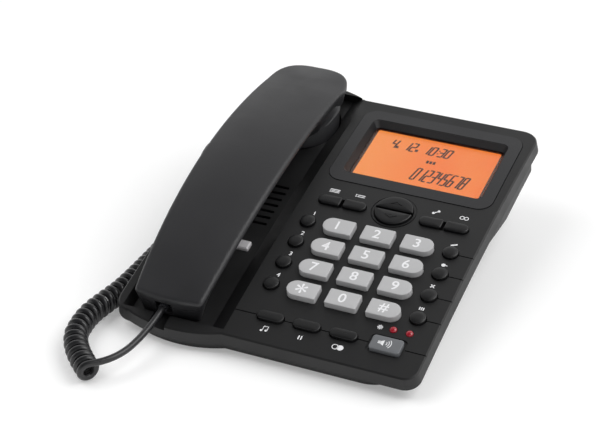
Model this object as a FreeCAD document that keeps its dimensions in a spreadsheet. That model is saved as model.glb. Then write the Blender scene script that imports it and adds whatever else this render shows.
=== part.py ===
import FreeCAD, Part
import Sketcher
import math
import os

# A desk telephone with a cord. The housing is a thin wedge whose top is a very flat arch that climbs
# to the back; keypad and display lie on its right, and the handset rests in a trough on its left.
# Lengths are millimetres. The row frame has +X to the user's right, +Y away from the user and +Z up,
# with its origin on the table under the middle of the housing. Most pieces are drawn in the deck
# frame, which lies on the keypad: u to the right, v up the panel, w square to the panel.

Vector = FreeCAD.Vector
Placement = FreeCAD.Placement
Rotation = FreeCAD.Rotation

SIZES = [
    ("slope_angle", 13.0, "slope of the keypad to the table, degrees"),
    ("arch_radius", 1430.0, "radius of the arch of the deck"),
    ("keypad_x", 29.5, "middle column of the keypad"),
    ("keypad_y", -39.2, "middle of the keypad, front to back"),
    ("keypad_z", 28.2, "height of the deck at the middle of the keypad"),
    ("front_edge", -61.0, "front edge of the deck"),
    ("back_edge", 133.5, "back edge of the deck"),
    ("right_edge", 51.0, "right edge of the deck at the front"),
    ("right_flare", 1.5, "how much further right the deck is at the back"),
    ("left_edge", -111.5, "left edge of the deck"),
    ("crest_line", -50.5, "crest between the panel and the trough"),
    ("front_corner", 7.0, "corner radius at the front right"),
    ("back_corner", 9.0, "corner radius at the back right"),
    ("lobe_corner", 9.0, "corner radius at the left, front and back"),
    ("front_lobe", 74.0, "radius of the bulge in front of the handset"),
    ("back_lobe", 52.0, "radius of the bulge behind the handset"),
    ("housing_wall", 2.0, "wall of both housings"),
    ("side_draft", 8.0, "outward draft of the upper housing, degrees"),
    ("trough_depth", 5.0, "depth of the handset trough"),
    ("trough_right", -59.0, "foot of the trough's right slope"),
    ("trough_left", -104.0, "foot of the trough's left slope"),
    ("trough_lip", -107.0, "top of the trough's left slope"),
    ("trough_gap", 0.8, "gap in front of the handset in its trough"),
    ("trough_back", 136.0, "back wall of the trough"),
    ("cavity_inset", 2.4, "how far the upper housing's hollow stands in from its outline"),
    ("housing_edge", 0.7, "bevel of the upper housing's top edge"),
    ("floor_thick", 1.9, "thickness of the lower housing"),
    ("tray_depth", 12.2, "depth of the lower housing's flat tray under the arch"),
    ("tray_front", 1.0, "how far the tray stands back under the front"),
    ("tray_inset", 4.5, "how far the tray stands back under the sides"),
    ("tray_corner", 24.0, "corner radius of the tray at the front right"),
    ("rim_inset", 1.4, "how far the lower housing's rim stands back"),
    ("rim_thick", 1.6, "thickness of that rim"),
    ("belly_inset", 2.0, "how far the belly stands back under the upper housing"),
    ("belly_front", 30.0, "where the belly starts to drop"),
    ("well_depth", 19.0, "depth of the well under the hook plunger"),
    ("belly_level", 74.0, "where the belly reaches its depth"),
    ("belly_depth", 21.0, "depth of the belly under the arch"),
    ("key_pitch_x", 22.0, "dial key spacing across"),
    ("key_pitch_y", 16.0, "dial key spacing up the panel"),
    ("key_width", 16.8, "dial key width"),
    ("key_depth", 10.3, "dial key depth"),
    ("key_proud", 3.2, "height of a dial key over the deck"),
    ("button_proud", 1.7, "height of the dark keys over the deck"),
    ("key_gap", 0.35, "gap round a key in its hole"),
    ("key_travel", 1.2, "travel of a key"),
    ("key_flange", 0.6, "flange that keeps a key under the deck"),
    ("flange_thick", 1.1, "thickness of that flange"),
    ("flange_gap", 0.3, "gap between the flange and the deck"),
    ("key_bevel", 0.7, "bevel of a dial key's top edge"),
    ("button_bevel", 0.4, "bevel of a dark key's top edge"),
    ("stem_width", 2.8, "width of a key's stem"),
    ("stem_end", 5.4, "depth of the stems' lower ends"),
    ("memory_column", -39.9, "column of round keys on the left"),
    ("function_column", 39.2, "column of round keys on the right"),
    ("round_key", 8.2, "diameter of the small round keys"),
    ("wide_row", 43.6, "row of the wide keys under the display"),
    ("wide_key", 12.6, "width of a wide key"),
    ("wide_key_depth", 6.2, "depth of a wide key"),
    ("wide_key_step", 14.2, "spacing inside a pair of wide keys"),
    ("wide_pair_left", -27.8, "middle of the left pair"),
    ("wide_pair_right", 29.0, "middle of the right pair"),
    ("rocker_v", 46.0, "middle of the round rocker"),
    ("rocker_radius", 10.3, "radius of the rocker"),
    ("rocker_split", 1.4, "gap between the rocker's halves"),
    ("rocker_ring", 12.3, "radius of the ring groove round the rocker"),
    ("bottom_row", -44.2, "row of the oval keys"),
    ("oval_width", 14.4, "width of an oval key"),
    ("oval_depth", 5.8, "depth of an oval key"),
    ("oval_step", 19.6, "spacing of the oval keys"),
    ("oval_first", -31.0, "middle of the first oval key"),
    ("speaker_key_u", 30.6, "middle of the speaker key"),
    ("speaker_key_width", 16.0, "width of the speaker key"),
    ("speaker_key_depth", 9.4, "depth of the speaker key"),
    ("groove_width", 0.6, "width of the decorative grooves"),
    ("groove_depth", 0.5, "depth of the decorative grooves"),
    ("led_radius", 1.9, "radius of an indicator lamp"),
    ("led_v", -33.3, "row of the indicator lamps"),
    ("led_first", 30.1, "first indicator lamp"),
    ("led_step", 8.5, "spacing of the indicator lamps"),
    ("bezel_u", 1.0, "middle of the display across"),
    ("bezel_v", 94.0, "middle of the display up the deck"),
    ("bezel_width", 92.6, "width of the display frame"),
    ("bezel_height", 65.0, "height of the display frame"),
    ("bezel_corner", 8.0, "corner radius of the display frame"),
    ("bezel_thick", 5.2, "thickness of the display frame"),
    ("window_width", 75.0, "width of the display opening"),
    ("window_height", 45.5, "height of the display opening"),
    ("window_depth", 4.0, "depth of the window under the deck"),
    ("window_thick", 1.0, "thickness of the window"),
    ("seat_gap", 0.15, "gap between pieces that seat on each other"),
    ("module_thick", 3.2, "thickness of the display module"),
    ("module_height", 54.0, "height of the display module"),
    ("membrane_top", 6.9, "depth of the membrane's domes"),
    ("dome_height", 0.7, "height of the membrane's domes"),
    ("membrane_thick", 0.8, "thickness of the membrane"),
    ("board_thick", 1.6, "thickness of the main board"),
    ("grille_v", 36.3, "middle of the loudspeaker grille"),
    ("grille_count", 7, "slots of the grille"),
    ("grille_step", 5.04, "spacing of the slots"),
    ("grille_slot", 1.8, "width of a slot"),
    ("grille_left", -102.5, "left end of the slots"),
    ("grille_right", -62.5, "right end of the slots"),
    ("loudspeaker_radius", 17.0, "radius of the loudspeaker"),
    ("loudspeaker_thick", 2.9, "thickness of the loudspeaker"),
    ("plunger_u", -68.4, "middle of the hook plunger across"),
    ("plunger_v", 2.4, "middle of the hook plunger up the deck"),
    ("plunger_width", 9.0, "width of the plunger"),
    ("plunger_length", 6.0, "length of the plunger"),
    ("plunger_top", 3.2, "depth of the pressed plunger's top under the deck"),
    ("plunger_travel", 4.0, "travel of the plunger"),
    ("handset_u", -82.7, "middle line of the handset"),
    ("handset_v", 44.5, "middle of the handset up the deck"),
    ("handset_length", 204.0, "length of the handset"),
    ("handset_half", 20.5, "half width of the handset at its ends"),
    ("handset_corner", 4.0, "corner radius of the handset's straight end"),
    ("handset_side", 1958.0, "radius of the handset's sides seen from above"),
    ("handset_level", 17.0, "height at which its outline is drawn"),
    ("handset_draft", 5.0, "inward draft of the handset's sides, degrees"),
    ("handset_wall", 2.0, "wall of the handset"),
    ("handset_edge", 2.5, "rounding of the handset's top edge"),
    ("handset_top", 21.5, "height of the handset over the deck halfway"),
    ("handset_rise", 16.16, "how far the ends of the handset's back lie below its middle"),
    ("handset_crown", 120.0, "radius of the crown across the handset's back"),
    ("handset_seam", 6.2, "depth of the seam below the handset's top"),
    ("ear_radius", 23.6, "radius of the handset's round end"),
    ("ear_v", 107.5, "middle of the ear cup up the deck"),
    ("ear_cup_top", 26.3, "radius of the ear cup at the handset"),
    ("ear_cup_bottom", 24.8, "radius of the ear cup at its face"),
    ("ear_cup_depth", 8.0, "depth of the ear cup under the deck"),
    ("cup_gap", 0.8, "gap round the ear cup"),
    ("rest_gap", 0.3, "gap under the resting handset"),
    ("jack_shift", 2.0, "how far the handset's jack stands left of its middle line"),
    ("mouth_back", 16.0, "where the mouth hole stands behind the handset's front end"),
    ("jack_width", 11.0, "width of a handset jack"),
    ("jack_height", 7.8, "height of a handset jack"),
    ("jack_length", 14.0, "length of a handset jack"),
    ("jack_wall", 0.9, "wall of a jack round its socket"),
    ("base_jack_v", 93.0, "where the handset jack sits in the left side"),
    ("base_jack_depth", 15.0, "depth of that jack's middle under the deck"),
    ("line_jack_u", 20.0, "where the line jack sits in the back"),
    ("plug_width", 7.6, "width of a handset plug"),
    ("plug_height", 5.0, "height of a handset plug"),
    ("plug_length", 12.0, "length of a handset plug"),
    ("cord_diameter", 3.5, "diameter of the cord"),
    ("coil_radius", 4.5, "mean radius of the curls"),
    ("curl_count", 28, "curls of the cord"),
    ("stand_front", 89.2, "front of the desk stand behind the keypad's middle"),
    ("stand_back", 137.2, "back of the desk stand behind the keypad's middle"),
    ("stand_left", -96.5, "left end of the desk stand from the keypad's middle"),
    ("stand_right", 11.5, "right end of the desk stand from the keypad's middle"),
    ("stand_wall", 3.0, "wall of the desk stand"),
    ("foot_thick", 1.5, "thickness of the stand's rubber feet"),
    ("foot_radius", 6.0, "radius of a rubber foot"),
    ("screw_head", 2.6, "radius of a screw's head"),
    ("screw_shank", 1.2, "radius of a screw's shank"),
]
VALUES = {alias: value for alias, value, note in SIZES}

doc = FreeCAD.newDocument("corded_telephone")
sheet = doc.addObject("Spreadsheet::Sheet", "sizes")
for row, (alias, value, note) in enumerate(SIZES, start=1):
    sheet.set(f"A{row}", alias)
    sheet.set(f"B{row}", str(value))
    sheet.set(f"C{row}", note)
    sheet.setAlias(f"B{row}", alias)
doc.recompute()


class Size:
    """A size that knows its value and the formula over the sheet that keeps a property bound to it."""

    def __init__(self, value, formula):
        self.value = float(value)
        self.formula = formula

    def __add__(self, other):
        other = size(other)
        return Size(self.value + other.value, f"({self.formula} + {other.formula})")

    def __sub__(self, other):
        other = size(other)
        return Size(self.value - other.value, f"({self.formula} - {other.formula})")

    def __mul__(self, other):
        other = size(other)
        return Size(self.value * other.value, f"({self.formula} * {other.formula})")

    def __truediv__(self, other):
        other = size(other)
        return Size(self.value / other.value, f"({self.formula} / {other.formula})")

    def __rsub__(self, other):
        return size(other) - self

    def __neg__(self):
        return Size(-self.value, f"(-{self.formula})")

    __radd__ = __add__
    __rmul__ = __mul__

    def root(self):
        return Size(math.sqrt(self.value), f"sqrt({self.formula})")


def size(thing):
    """Turns a sheet alias or a plain number into a Size."""
    if isinstance(thing, Size):
        return thing
    if isinstance(thing, str):
        return Size(VALUES[thing], f"sizes.{thing}")
    return Size(thing, f"({float(thing)!r})")


def bind(thing, name, value):
    """Sets a property of an object and keeps it bound to the sheet."""
    value = size(value)
    setattr(thing, name, value.value)
    thing.setExpression(name, value.formula)


# The deck frame, and places on the arch

DECK = Placement(
    Vector(VALUES["keypad_x"], VALUES["keypad_y"], VALUES["keypad_z"]),
    Rotation(Vector(1, 0, 0), VALUES["slope_angle"]),
)
FLAT = Placement()
SECTION = Placement(Vector(), Rotation(Vector(1, 0, 0), 90))
PROFILE = Placement(Vector(), Rotation(Vector(1, 1, 1), 120))


def on_arch(u, v, height=0.0):
    """A place on the arch, turned so that its +Z is square to the arch there."""
    turn = v / VALUES["arch_radius"]
    radius = VALUES["arch_radius"] + height
    spot = Vector(u, radius * math.sin(turn), radius * math.cos(turn) - VALUES["arch_radius"])
    return Placement(spot, Rotation(Vector(1, 0, 0), -math.degrees(turn)))


def on_deck(u, v, height=0.0):
    """A place on the arch that keeps the keypad's own upright."""
    drop = v * v / (2 * VALUES["arch_radius"])
    return Placement(Vector(u, v, height - drop), Rotation())


HANDSET = on_arch(VALUES["handset_u"], VALUES["handset_v"])
HANDSET_FRONT = -VALUES["handset_length"] / 2


# Outlines and solids

def arc_through(start, end, radius):
    """The arc from start to end that bulges to the right of its run for a positive radius."""
    run = end - start
    half = run.Length / 2
    left = Vector(-run.y, run.x, 0).normalize()
    reach = math.sqrt(max(radius * radius - half * half, 0.0))
    centre = (start + end) * 0.5 + left * (reach if radius > 0 else -reach)
    circle = Part.Circle(centre, Vector(0, 0, 1), abs(radius))
    first = start if radius > 0 else end
    last = end if radius > 0 else start
    return Part.ArcOfCircle(circle, circle.parameter(first), circle.parameter(last))


def draw(sketch, nodes):
    """Draws a closed outline of (x, y) or (x, y, radius) corners, each radius an arc to the next corner."""
    corners = [(size(node[0]), size(node[1]), size(node[2]) if len(node) > 2 else None) for node in nodes]
    points = [Vector(x.value, y.value, 0) for x, y, radius in corners]
    count = len(corners)
    heads = []
    for index, (x, y, radius) in enumerate(corners):
        start = points[index]
        end = points[(index + 1) % count]
        if radius is None:
            sketch.addGeometry(Part.LineSegment(start, end))
            heads.append((1, 2))
        else:
            sketch.addGeometry(arc_through(start, end, radius.value))
            heads.append((1, 2) if radius.value > 0 else (2, 1))
    for index in range(count):
        following = (index + 1) % count
        sketch.addConstraint(
            Sketcher.Constraint("Coincident", index, heads[index][1], following, heads[following][0])
        )
    for index, (x, y, radius) in enumerate(corners):
        for kind, length in (("DistanceX", x), ("DistanceY", y)):
            number = sketch.addConstraint(
                Sketcher.Constraint(kind, -1, 1, index, heads[index][0], length.value)
            )
            sketch.setExpression(f"Constraints[{number}]", length.formula)
        if radius is not None:
            number = sketch.addConstraint(Sketcher.Constraint("Radius", index, abs(radius.value)))
            formula = radius.formula if radius.value > 0 else f"-{radius.formula}"
            sketch.setExpression(f"Constraints[{number}]", formula)


def sketch(name, nodes, place=FLAT):
    outline = doc.addObject("Sketcher::SketchObject", name)
    outline.Placement = place
    draw(outline, nodes)
    return outline


def extrude(name, nodes, forward, back=0.0, place=FLAT):
    """A prism over an outline, from back behind its plane to forward in front of it."""
    prism = doc.addObject("Part::Extrusion", name)
    prism.Base = sketch(name + "_outline", nodes, place)
    prism.DirMode = "Normal"
    prism.Solid = True
    bind(prism, "LengthFwd", forward)
    bind(prism, "LengthRev", back)
    return prism


def follow_arch(name, nodes, radius="arch_radius", place=Placement(), top=0.0, sweep=13.0):
    """A section across the phone, carried front to back along an arch."""
    turned = doc.addObject("Part::Revolution", name)
    turned.Source = sketch(name + "_section", nodes, place.multiply(SECTION))
    radius = size(radius)
    axis_point = place.multVec(Vector(0, 0, size(top).value - radius.value))
    turned.Base = axis_point
    turned.Axis = place.Rotation.multVec(Vector(1, 0, 0))
    turned.Angle = sweep
    turned.Symmetric = True
    turned.Solid = True
    return turned


def box(name, low, high, place=Placement()):
    """A block between two corners of a frame."""
    low = [size(value) for value in low]
    high = [size(value) for value in high]
    block = doc.addObject("Part::Box", name)
    for side, bottom, top in zip(("Length", "Width", "Height"), low, high):
        bind(block, side, top - bottom)
    corner = Placement(Vector(*[value.value for value in low]), Rotation())
    block.Placement = place.multiply(corner)
    return block


def cylinder(name, radius, low, high, place=Placement()):
    """A round bar along the place's own upright, from low to high."""
    low = size(low)
    bar = doc.addObject("Part::Cylinder", name)
    bind(bar, "Radius", radius)
    bind(bar, "Height", size(high) - low)
    bar.Placement = place.multiply(Placement(Vector(0, 0, low.value), Rotation()))
    return bar


def cone(name, low_radius, high_radius, low, high, place=Placement()):
    low = size(low)
    bar = doc.addObject("Part::Cone", name)
    bind(bar, "Radius1", low_radius)
    bind(bar, "Radius2", high_radius)
    bind(bar, "Height", size(high) - low)
    bar.Placement = place.multiply(Placement(Vector(0, 0, low.value), Rotation()))
    return bar


def fuse(name, *things):
    joined = doc.addObject("Part::MultiFuse", name)
    joined.Shapes = list(things)
    joined.Refine = True
    return joined


def group(name, *things):
    gathered = doc.addObject("Part::Compound", name)
    gathered.Links = list(things)
    return gathered


def common(name, first, second):
    shared = doc.addObject("Part::Common", name)
    shared.Base = first
    shared.Tool = second
    return shared


def cut(name, base, *tools):
    """Takes one or more tools out of a base."""
    rest = doc.addObject("Part::Cut", name)
    rest.Base = base
    rest.Tool = tools[0] if len(tools) == 1 else group(name + "_tools", *tools)
    rest.Refine = True
    return rest


def rectangle(width, depth, corner, u=0.0, v=0.0):
    """A rectangle with rounded corners about (u, v)."""
    width, depth, corner, u, v = [size(value) for value in (width, depth, corner, u, v)]
    left, right = u - width / 2, u + width / 2
    low, high = v - depth / 2, v + depth / 2
    return [
        (left + corner, low),
        (right - corner, low, corner),
        (right, low + corner),
        (right, high - corner, corner),
        (right - corner, high),
        (left + corner, high, corner),
        (left, high - corner),
        (left, low + corner, corner),
    ]


def key_outline(width, depth, round_left, round_right, corner=1.0, grow=0.0):
    """A key seen from above; a round end is a half circle over the key's whole depth."""
    grow = size(grow)
    width = size(width) + grow * 2
    depth = size(depth) + grow * 2
    corner = size(corner) + grow
    half = depth / 2
    left, right = -width / 2, width / 2
    nodes = []
    if round_left:
        nodes += [(left + half, half, half), (left, 0.0, half), (left + half, -half)]
    else:
        nodes += [(left + corner, half, corner), (left, half - corner)]
        nodes += [(left, corner - half, corner), (left + corner, -half)]
    if round_right:
        nodes += [(right - half, -half, half), (right, 0.0, half), (right - half, half)]
    else:
        nodes += [(right - corner, -half, corner), (right, corner - half)]
        nodes += [(right, half - corner, corner), (right - corner, half)]
    return nodes


def disc(radius, grow=0.0):
    """A full circle in four arcs."""
    radius = size(radius) + grow
    return [(radius, 0.0, radius), (0.0, radius, radius), (-radius, 0.0, radius), (0.0, -radius, radius)]


def half_disc(radius, split, side, grow=0.0):
    """Half of the round rocker, on the side +1 or -1 of its split."""
    radius = size(radius) + grow
    line = size(split) / 2 - grow
    reach = (radius * radius - line * line).root()
    if side > 0:
        return [(-reach, line), (reach, line, radius), (0.0, radius, radius)]
    return [(reach, -line), (-reach, -line, radius), (0.0, -radius, radius)]


NODES = {}


def keep(name, thing, place=DECK):
    """Names a finished piece and puts it where it belongs."""
    thing.Label = name
    thing.Placement = place.multiply(thing.Placement)
    NODES[name] = thing
    return thing


# Sizes that several pieces share

upper_depth = size("trough_depth") + size("housing_wall")
far_left = size("left_edge") - 25
far_right = size("right_edge") + 25
wall = size("housing_wall")
flange_top = wall + size("flange_gap")
membrane_base = size("membrane_top") + size("dome_height") + size("membrane_thick")
board_top = membrane_base + size("seat_gap")
board_bottom = board_top + size("board_thick")


def deck_outline(inset):
    """The housing seen square to the deck, drawn in by inset."""
    inset = size(inset)
    left = size("left_edge") + inset
    right = size("right_edge") - inset
    front = size("front_edge") + inset
    back = size("back_edge") - inset
    crest = size("crest_line")
    front_corner = size("front_corner") - inset
    back_corner = size("back_corner") - inset
    lobe_corner = size("lobe_corner") - inset
    rear_right = right + size("right_flare")
    return [
        (crest, front),
        (right - front_corner, front, front_corner),
        (right, front + front_corner),
        (rear_right, back - back_corner, back_corner),
        (rear_right - back_corner, back),
        (crest, back, size("back_lobe") - inset),
        (left + lobe_corner, back, lobe_corner),
        (left, back - lobe_corner),
        (left, front + lobe_corner, lobe_corner),
        (left + lobe_corner, front, size("front_lobe") - inset),
    ]


def slab(name, top, bottom, left=None, right=None):
    """What lies between two depths under the arch."""
    left = far_left if left is None else size(left)
    right = far_right if right is None else size(right)
    top, bottom = size(top), size(bottom)
    return follow_arch(name, [(left, bottom), (right, bottom), (right, top), (left, top)])


def drop(v):
    """How far the arch lies under the keypad's plane at v."""
    return size(v) * size(v) / (size("arch_radius") * 2)


def arch_height(point):
    """Height of a point of the deck frame over the arch."""
    radius = VALUES["arch_radius"]
    return math.hypot(point.y, point.z + radius) - radius


def dress(kind, name, base, width, wanted):
    """Rounds or bevels the edges of a solid that pass a test; kind is Fillet or Chamfer."""
    doc.recompute()
    value = size(width).value
    dressed = doc.addObject(f"Part::{kind}", name)
    dressed.Base = base
    chosen = [index for index, edge in enumerate(base.Shape.Edges, start=1) if wanted(edge)]
    dressed.Edges = [(index, value, value) for index in chosen]
    return dressed


def loft(name, low, low_nodes, high, high_nodes, place=Placement()):
    """A solid with straight sides between two outlines of the same make."""
    ends = []
    for end, level, nodes in (("_low", low, low_nodes), ("_high", high, high_nodes)):
        level_place = place.multiply(Placement(Vector(0, 0, level), Rotation()))
        ends.append(sketch(name + end, nodes, level_place))
    body = doc.addObject("Part::Loft", name)
    body.Sections = ends
    body.Solid = True
    body.Ruled = True
    return body


# Keys: where each one is, its outline and how far it stands out

class Key:
    """One key; foot is the block under it that carries its flange, as half sizes and an offset."""

    def __init__(self, name, u, v, outline, width, depth, kind="button", offset=0.0):
        self.name = name
        self.u = size(u)
        self.v = size(v)
        self.outline = outline
        self.half_width = size(width) / 2
        self.half_depth = size(depth) / 2
        self.proud = size(f"{kind}_proud")
        self.bevel = size(f"{kind}_bevel")
        self.offset = size(offset)


def round_outline(diameter):
    return lambda grow: disc(size(diameter) / 2, grow)


def plain_outline(width, depth, round_left, round_right):
    return lambda grow: key_outline(width, depth, round_left, round_right, 1.2, grow)


keys = []
dial_names = [["1", "2", "3"], ["4", "5", "6"], ["7", "8", "9"], ["star", "0", "hash"]]
for row, names in enumerate(dial_names):
    for column, name in enumerate(names):
        outline = plain_outline("key_width", "key_depth", column == 0, column == 2)
        u = size("key_pitch_x") * (column - 1)
        v = size("key_pitch_y") * (1.5 - row)
        keys.append(Key(f"key_{name}", u, v, outline, "key_width", "key_depth", "key"))
for row in range(4):
    v = size("key_pitch_y") * (1.5 - row) + 1
    outline = round_outline("round_key")
    for column in ("memory", "function"):
        name = f"{column}_key_{row + 1}"
        keys.append(Key(name, f"{column}_column", v, outline, "round_key", "round_key"))
for side, middle in (("left", "wide_pair_left"), ("right", "wide_pair_right")):
    for index, sign in enumerate((-1, 1)):
        outline = plain_outline("wide_key", "wide_key_depth", sign < 0, sign > 0)
        u = size(middle) + size("wide_key_step") * (sign * 0.5)
        name = f"wide_key_{side}_{index + 1}"
        keys.append(Key(name, u, "wide_row", outline, "wide_key", "wide_key_depth"))
for name, side in (("up", 1), ("down", -1)):
    def rocker_outline(grow, side=side):
        return half_disc("rocker_radius", "rocker_split", side, grow)

    width = size("rocker_radius") * 2
    depth = size("rocker_radius") - size("rocker_split") / 2
    offset = (size("rocker_radius") + size("rocker_split") / 2) * (0.5 * side)
    keys.append(Key(f"rocker_{name}", 0.4, "rocker_v", rocker_outline, width, depth, offset=offset))
for index in range(3):
    outline = plain_outline("oval_width", "oval_depth", True, True)
    u = size("oval_first") + size("oval_step") * index
    keys.append(Key(f"oval_key_{index + 1}", u, "bottom_row", outline, "oval_width", "oval_depth"))
speaker_outline = plain_outline("speaker_key_width", "speaker_key_depth", False, False)
keys.append(Key(
    "speaker_key", "speaker_key_u", "bottom_row", speaker_outline, "speaker_key_width", "speaker_key_depth"
))


def make_key(key):
    """A key with its bevelled cap, the flange that holds it under the deck, and its stem."""
    place = on_deck(key.u.value, key.v.value)
    top = key.proud.value - drop(key.v).value
    far = size(abs(key.v.value + key.offset.value)) + key.half_depth
    sink = flange_top + drop(far) - drop(key.v)
    cap = extrude(f"{key.name}_cap", key.outline(0.0), key.proud, sink, place)
    cap = dress(
        "Chamfer", f"{key.name}_bevelled", cap, key.bevel,
        lambda edge: edge.BoundBox.ZMin > top - 0.001,
    )
    wide = key.half_width + "key_flange"
    deep = key.half_depth + ("key_flange" if key.offset.value == 0 else 0.0)
    flange_low = -sink - "flange_thick"
    flange = box(
        f"{key.name}_flange", (-wide, key.offset - deep, flange_low), (wide, key.offset + deep, -sink), place
    )
    half = size("stem_width") / 2
    stem = box(
        f"{key.name}_stem",
        (-half, key.offset - half, drop(key.v) - "stem_end"), (half, key.offset + half, -sink), place,
    )
    return keep(key.name, fuse(f"{key.name}_whole", cap, flange, stem))


# Upper housing: a shell under the arch with the trough, the ear cup's bowl and all openings

draft = math.tan(math.radians(VALUES["side_draft"]))
deck_block = loft("deck_block", -18.0, deck_outline(-18.0 * draft), 3.0, deck_outline(3.0 * draft))
deck_solid = common("deck_solid", deck_block, slab("deck_slab", 0.0, -upper_depth))
deck_solid = dress(
    "Chamfer", "deck_bevelled", deck_solid, "housing_edge",
    lambda edge: all(abs(arch_height(spot)) < 0.01 for spot in edge.discretize(3)),
)
trough_section = [
    ("crest_line", 0.0),
    ("crest_line", 4.0),
    ("trough_lip", 4.0),
    ("trough_lip", 0.0),
    ("trough_left", -size("trough_depth")),
    ("trough_right", -size("trough_depth")),
]
trough_front = size("handset_v") - size("handset_length") / 2 - "trough_gap"
trough_reach = box("trough_reach", (far_left, trough_front, -30.0), (far_right, "trough_back", 10.0))
trough = common("trough", follow_arch("trough_sweep", trough_section), trough_reach)
hollow_section = [
    (size("crest_line") + 0.5, -wall),
    (size("trough_right") + 0.5, -upper_depth),
    (size("trough_right") + 0.5, -upper_depth - 3),
    (far_right, -upper_depth - 3),
    (far_right, -wall),
]
hollow_plan = extrude("hollow_plan", deck_outline("cavity_inset"), 10.0, 40.0)
hollow = common("hollow", hollow_plan, follow_arch("hollow_sweep", hollow_section))

EAR = on_arch(VALUES["handset_u"], VALUES["ear_v"])
recess_bottom = size("ear_cup_depth") + "rest_gap"
recess_radius = size("ear_cup_bottom") + "cup_gap"
bowl = cylinder("bowl", recess_radius + 1.1, -recess_bottom - 1.4, -size("trough_depth") - 0.3, EAR)
recess = cone(
    "recess", recess_radius, size("ear_cup_top") + "cup_gap", -recess_bottom, 3.0, EAR
)

SCREWS = [(27.0, -54.2), (-35.0, -54.2), (-40.0, 54.5), (40.0, 54.5), (-50.5, 125.5), (-101.5, 66.0)]
POSTS = [(-43.0, -46.5), (41.6, -40.5), (-41.5, 48.9), (41.5, 48.9)]
boss_end = size(9.0)
bosses = []
pilots = []
for index, (u, v) in enumerate(SCREWS):
    place = on_deck(u, v)
    skin = -1.2 if u > VALUES["trough_right"] else -6.0
    bosses.append(cylinder(f"boss_{index}", 2.7, -boss_end, skin, place))
    pilots.append(cylinder(f"pilot_{index}", size("screw_shank") + 0.3, -boss_end - 1, -4.0, place))
for index, (u, v) in enumerate(POSTS):
    place = Placement(Vector(u, v, 0), Rotation())
    bosses.append(box(f"post_{index}", (-1.6, -1.6, -board_top), (1.6, 1.6, -1.2 - drop(v)), place))

openings = []
for key in keys:
    if key.name.startswith(("wide", "rocker")):
        continue
    place = on_deck(key.u.value, key.v.value)
    openings.append(extrude(f"{key.name}_hole", key.outline("key_gap"), 4.0, 4.0, place))
for side, middle in (("left", "wide_pair_left"), ("right", "wide_pair_right")):
    outline = key_outline(
        size("wide_key") + "wide_key_step", "wide_key_depth", True, True, 1.2, "key_gap"
    )
    place = on_deck(VALUES[middle], VALUES["wide_row"])
    openings.append(extrude(f"wide_hole_{side}", outline, 4.0, 4.0, place))
ROCKER = on_deck(0.4, VALUES["rocker_v"])
openings.append(cylinder("rocker_hole", size("rocker_radius") + "key_gap", -4.0, 4.0, ROCKER))

DISPLAY = on_arch(VALUES["bezel_u"], VALUES["bezel_v"])
bezel_hole = rectangle(size("bezel_width") + 0.6, size("bezel_height") + 0.6, size("bezel_corner") + 0.3)
openings.append(extrude("bezel_hole", bezel_hole, 5.0, 5.0, DISPLAY))
plunger_hole = rectangle(size("plunger_width") + 0.7, size("plunger_length") + 0.7, 1.0)
PLUNGER = on_arch(VALUES["plunger_u"], VALUES["plunger_v"])
openings.append(extrude("plunger_hole", plunger_hole, 0.0, 9.0, PLUNGER))
slot_length = size("grille_right") - "grille_left"
slot_middle = (VALUES["grille_left"] + VALUES["grille_right"]) / 2
for index in range(int(VALUES["grille_count"])):
    v = VALUES["grille_v"] + VALUES["grille_step"] * (index - (VALUES["grille_count"] - 1) / 2)
    slot = key_outline(slot_length, "grille_slot", True, True)
    openings.append(extrude(f"grille_{index}", slot, -3.0, 10.0, on_deck(slot_middle, v)))

grooves = []
bottom_v = VALUES["bottom_row"]


def groove(name, left, right, v):
    """A shallow straight groove across the deck."""
    half = size("groove_width") / 2
    return box(name, (left, -half, -size("groove_depth")), (right, half, 2.0), on_deck(0.0, v))


grooves.append(groove("groove_bottom", "crest_line", far_right, bottom_v))
for row in range(4):
    v = VALUES["key_pitch_y"] * (1.5 - row) + 1
    grooves.append(groove(f"groove_{row}", "function_column", far_right, v))
ring = cut(
    "rocker_groove",
    cylinder("rocker_groove_out", "rocker_ring", -size("groove_depth"), 2.0, ROCKER),
    cylinder("rocker_groove_in", size("rocker_ring") - "groove_width", -2.0, 3.0, ROCKER),
)
grooves.append(ring)
speaker_place = on_deck(VALUES["speaker_key_u"], bottom_v)
speaker_ring = key_outline("speaker_key_width", "speaker_key_depth", False, False, 1.2, 1.5)
grooves.append(extrude("speaker_dish", speaker_ring, 2.0, "groove_depth", speaker_place))

lamp_holes = []
LAMPS = []
for index in range(2):
    lamp = on_deck(VALUES["led_first"] + VALUES["led_step"] * index, VALUES["led_v"])
    LAMPS.append(lamp)
    lamp_holes.append(cylinder(f"lamp_hole_{index}", size("led_radius") + 0.2, -4.0, 2.0, lamp))

jack_y = HANDSET_FRONT + 4.5
jack_floor = size("rest_gap") - "trough_depth" - drop(jack_y + VALUES["jack_length"]) + "handset_wall"
jack_z = jack_floor + size("jack_height") / 2 + 0.06
HANDSET_JACK = HANDSET.multiply(Placement(Vector(-VALUES["jack_shift"], jack_y, jack_z.value), Rotation()))
lobe_channel = extrude(
    "lobe_channel",
    rectangle(9.0, 30.0, 2.0, VALUES["handset_u"] - VALUES["jack_shift"], trough_front.value - 12.0),
    4.0, 0.0, Placement(Vector(0, 0, -3.9), Rotation()),
)
upper_shell = fuse("upper_shell", cut("upper_open", deck_solid, trough, hollow), bowl, *bosses)
upper = cut("upper_whole", upper_shell, recess, lobe_channel, *pilots, *openings, *grooves, *lamp_holes)
keep("upper_housing", upper)

for key in keys:
    make_key(key)


# Lower housing: a rim under the upper one, a flat tray in front, a deeper belly behind and a well

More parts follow.
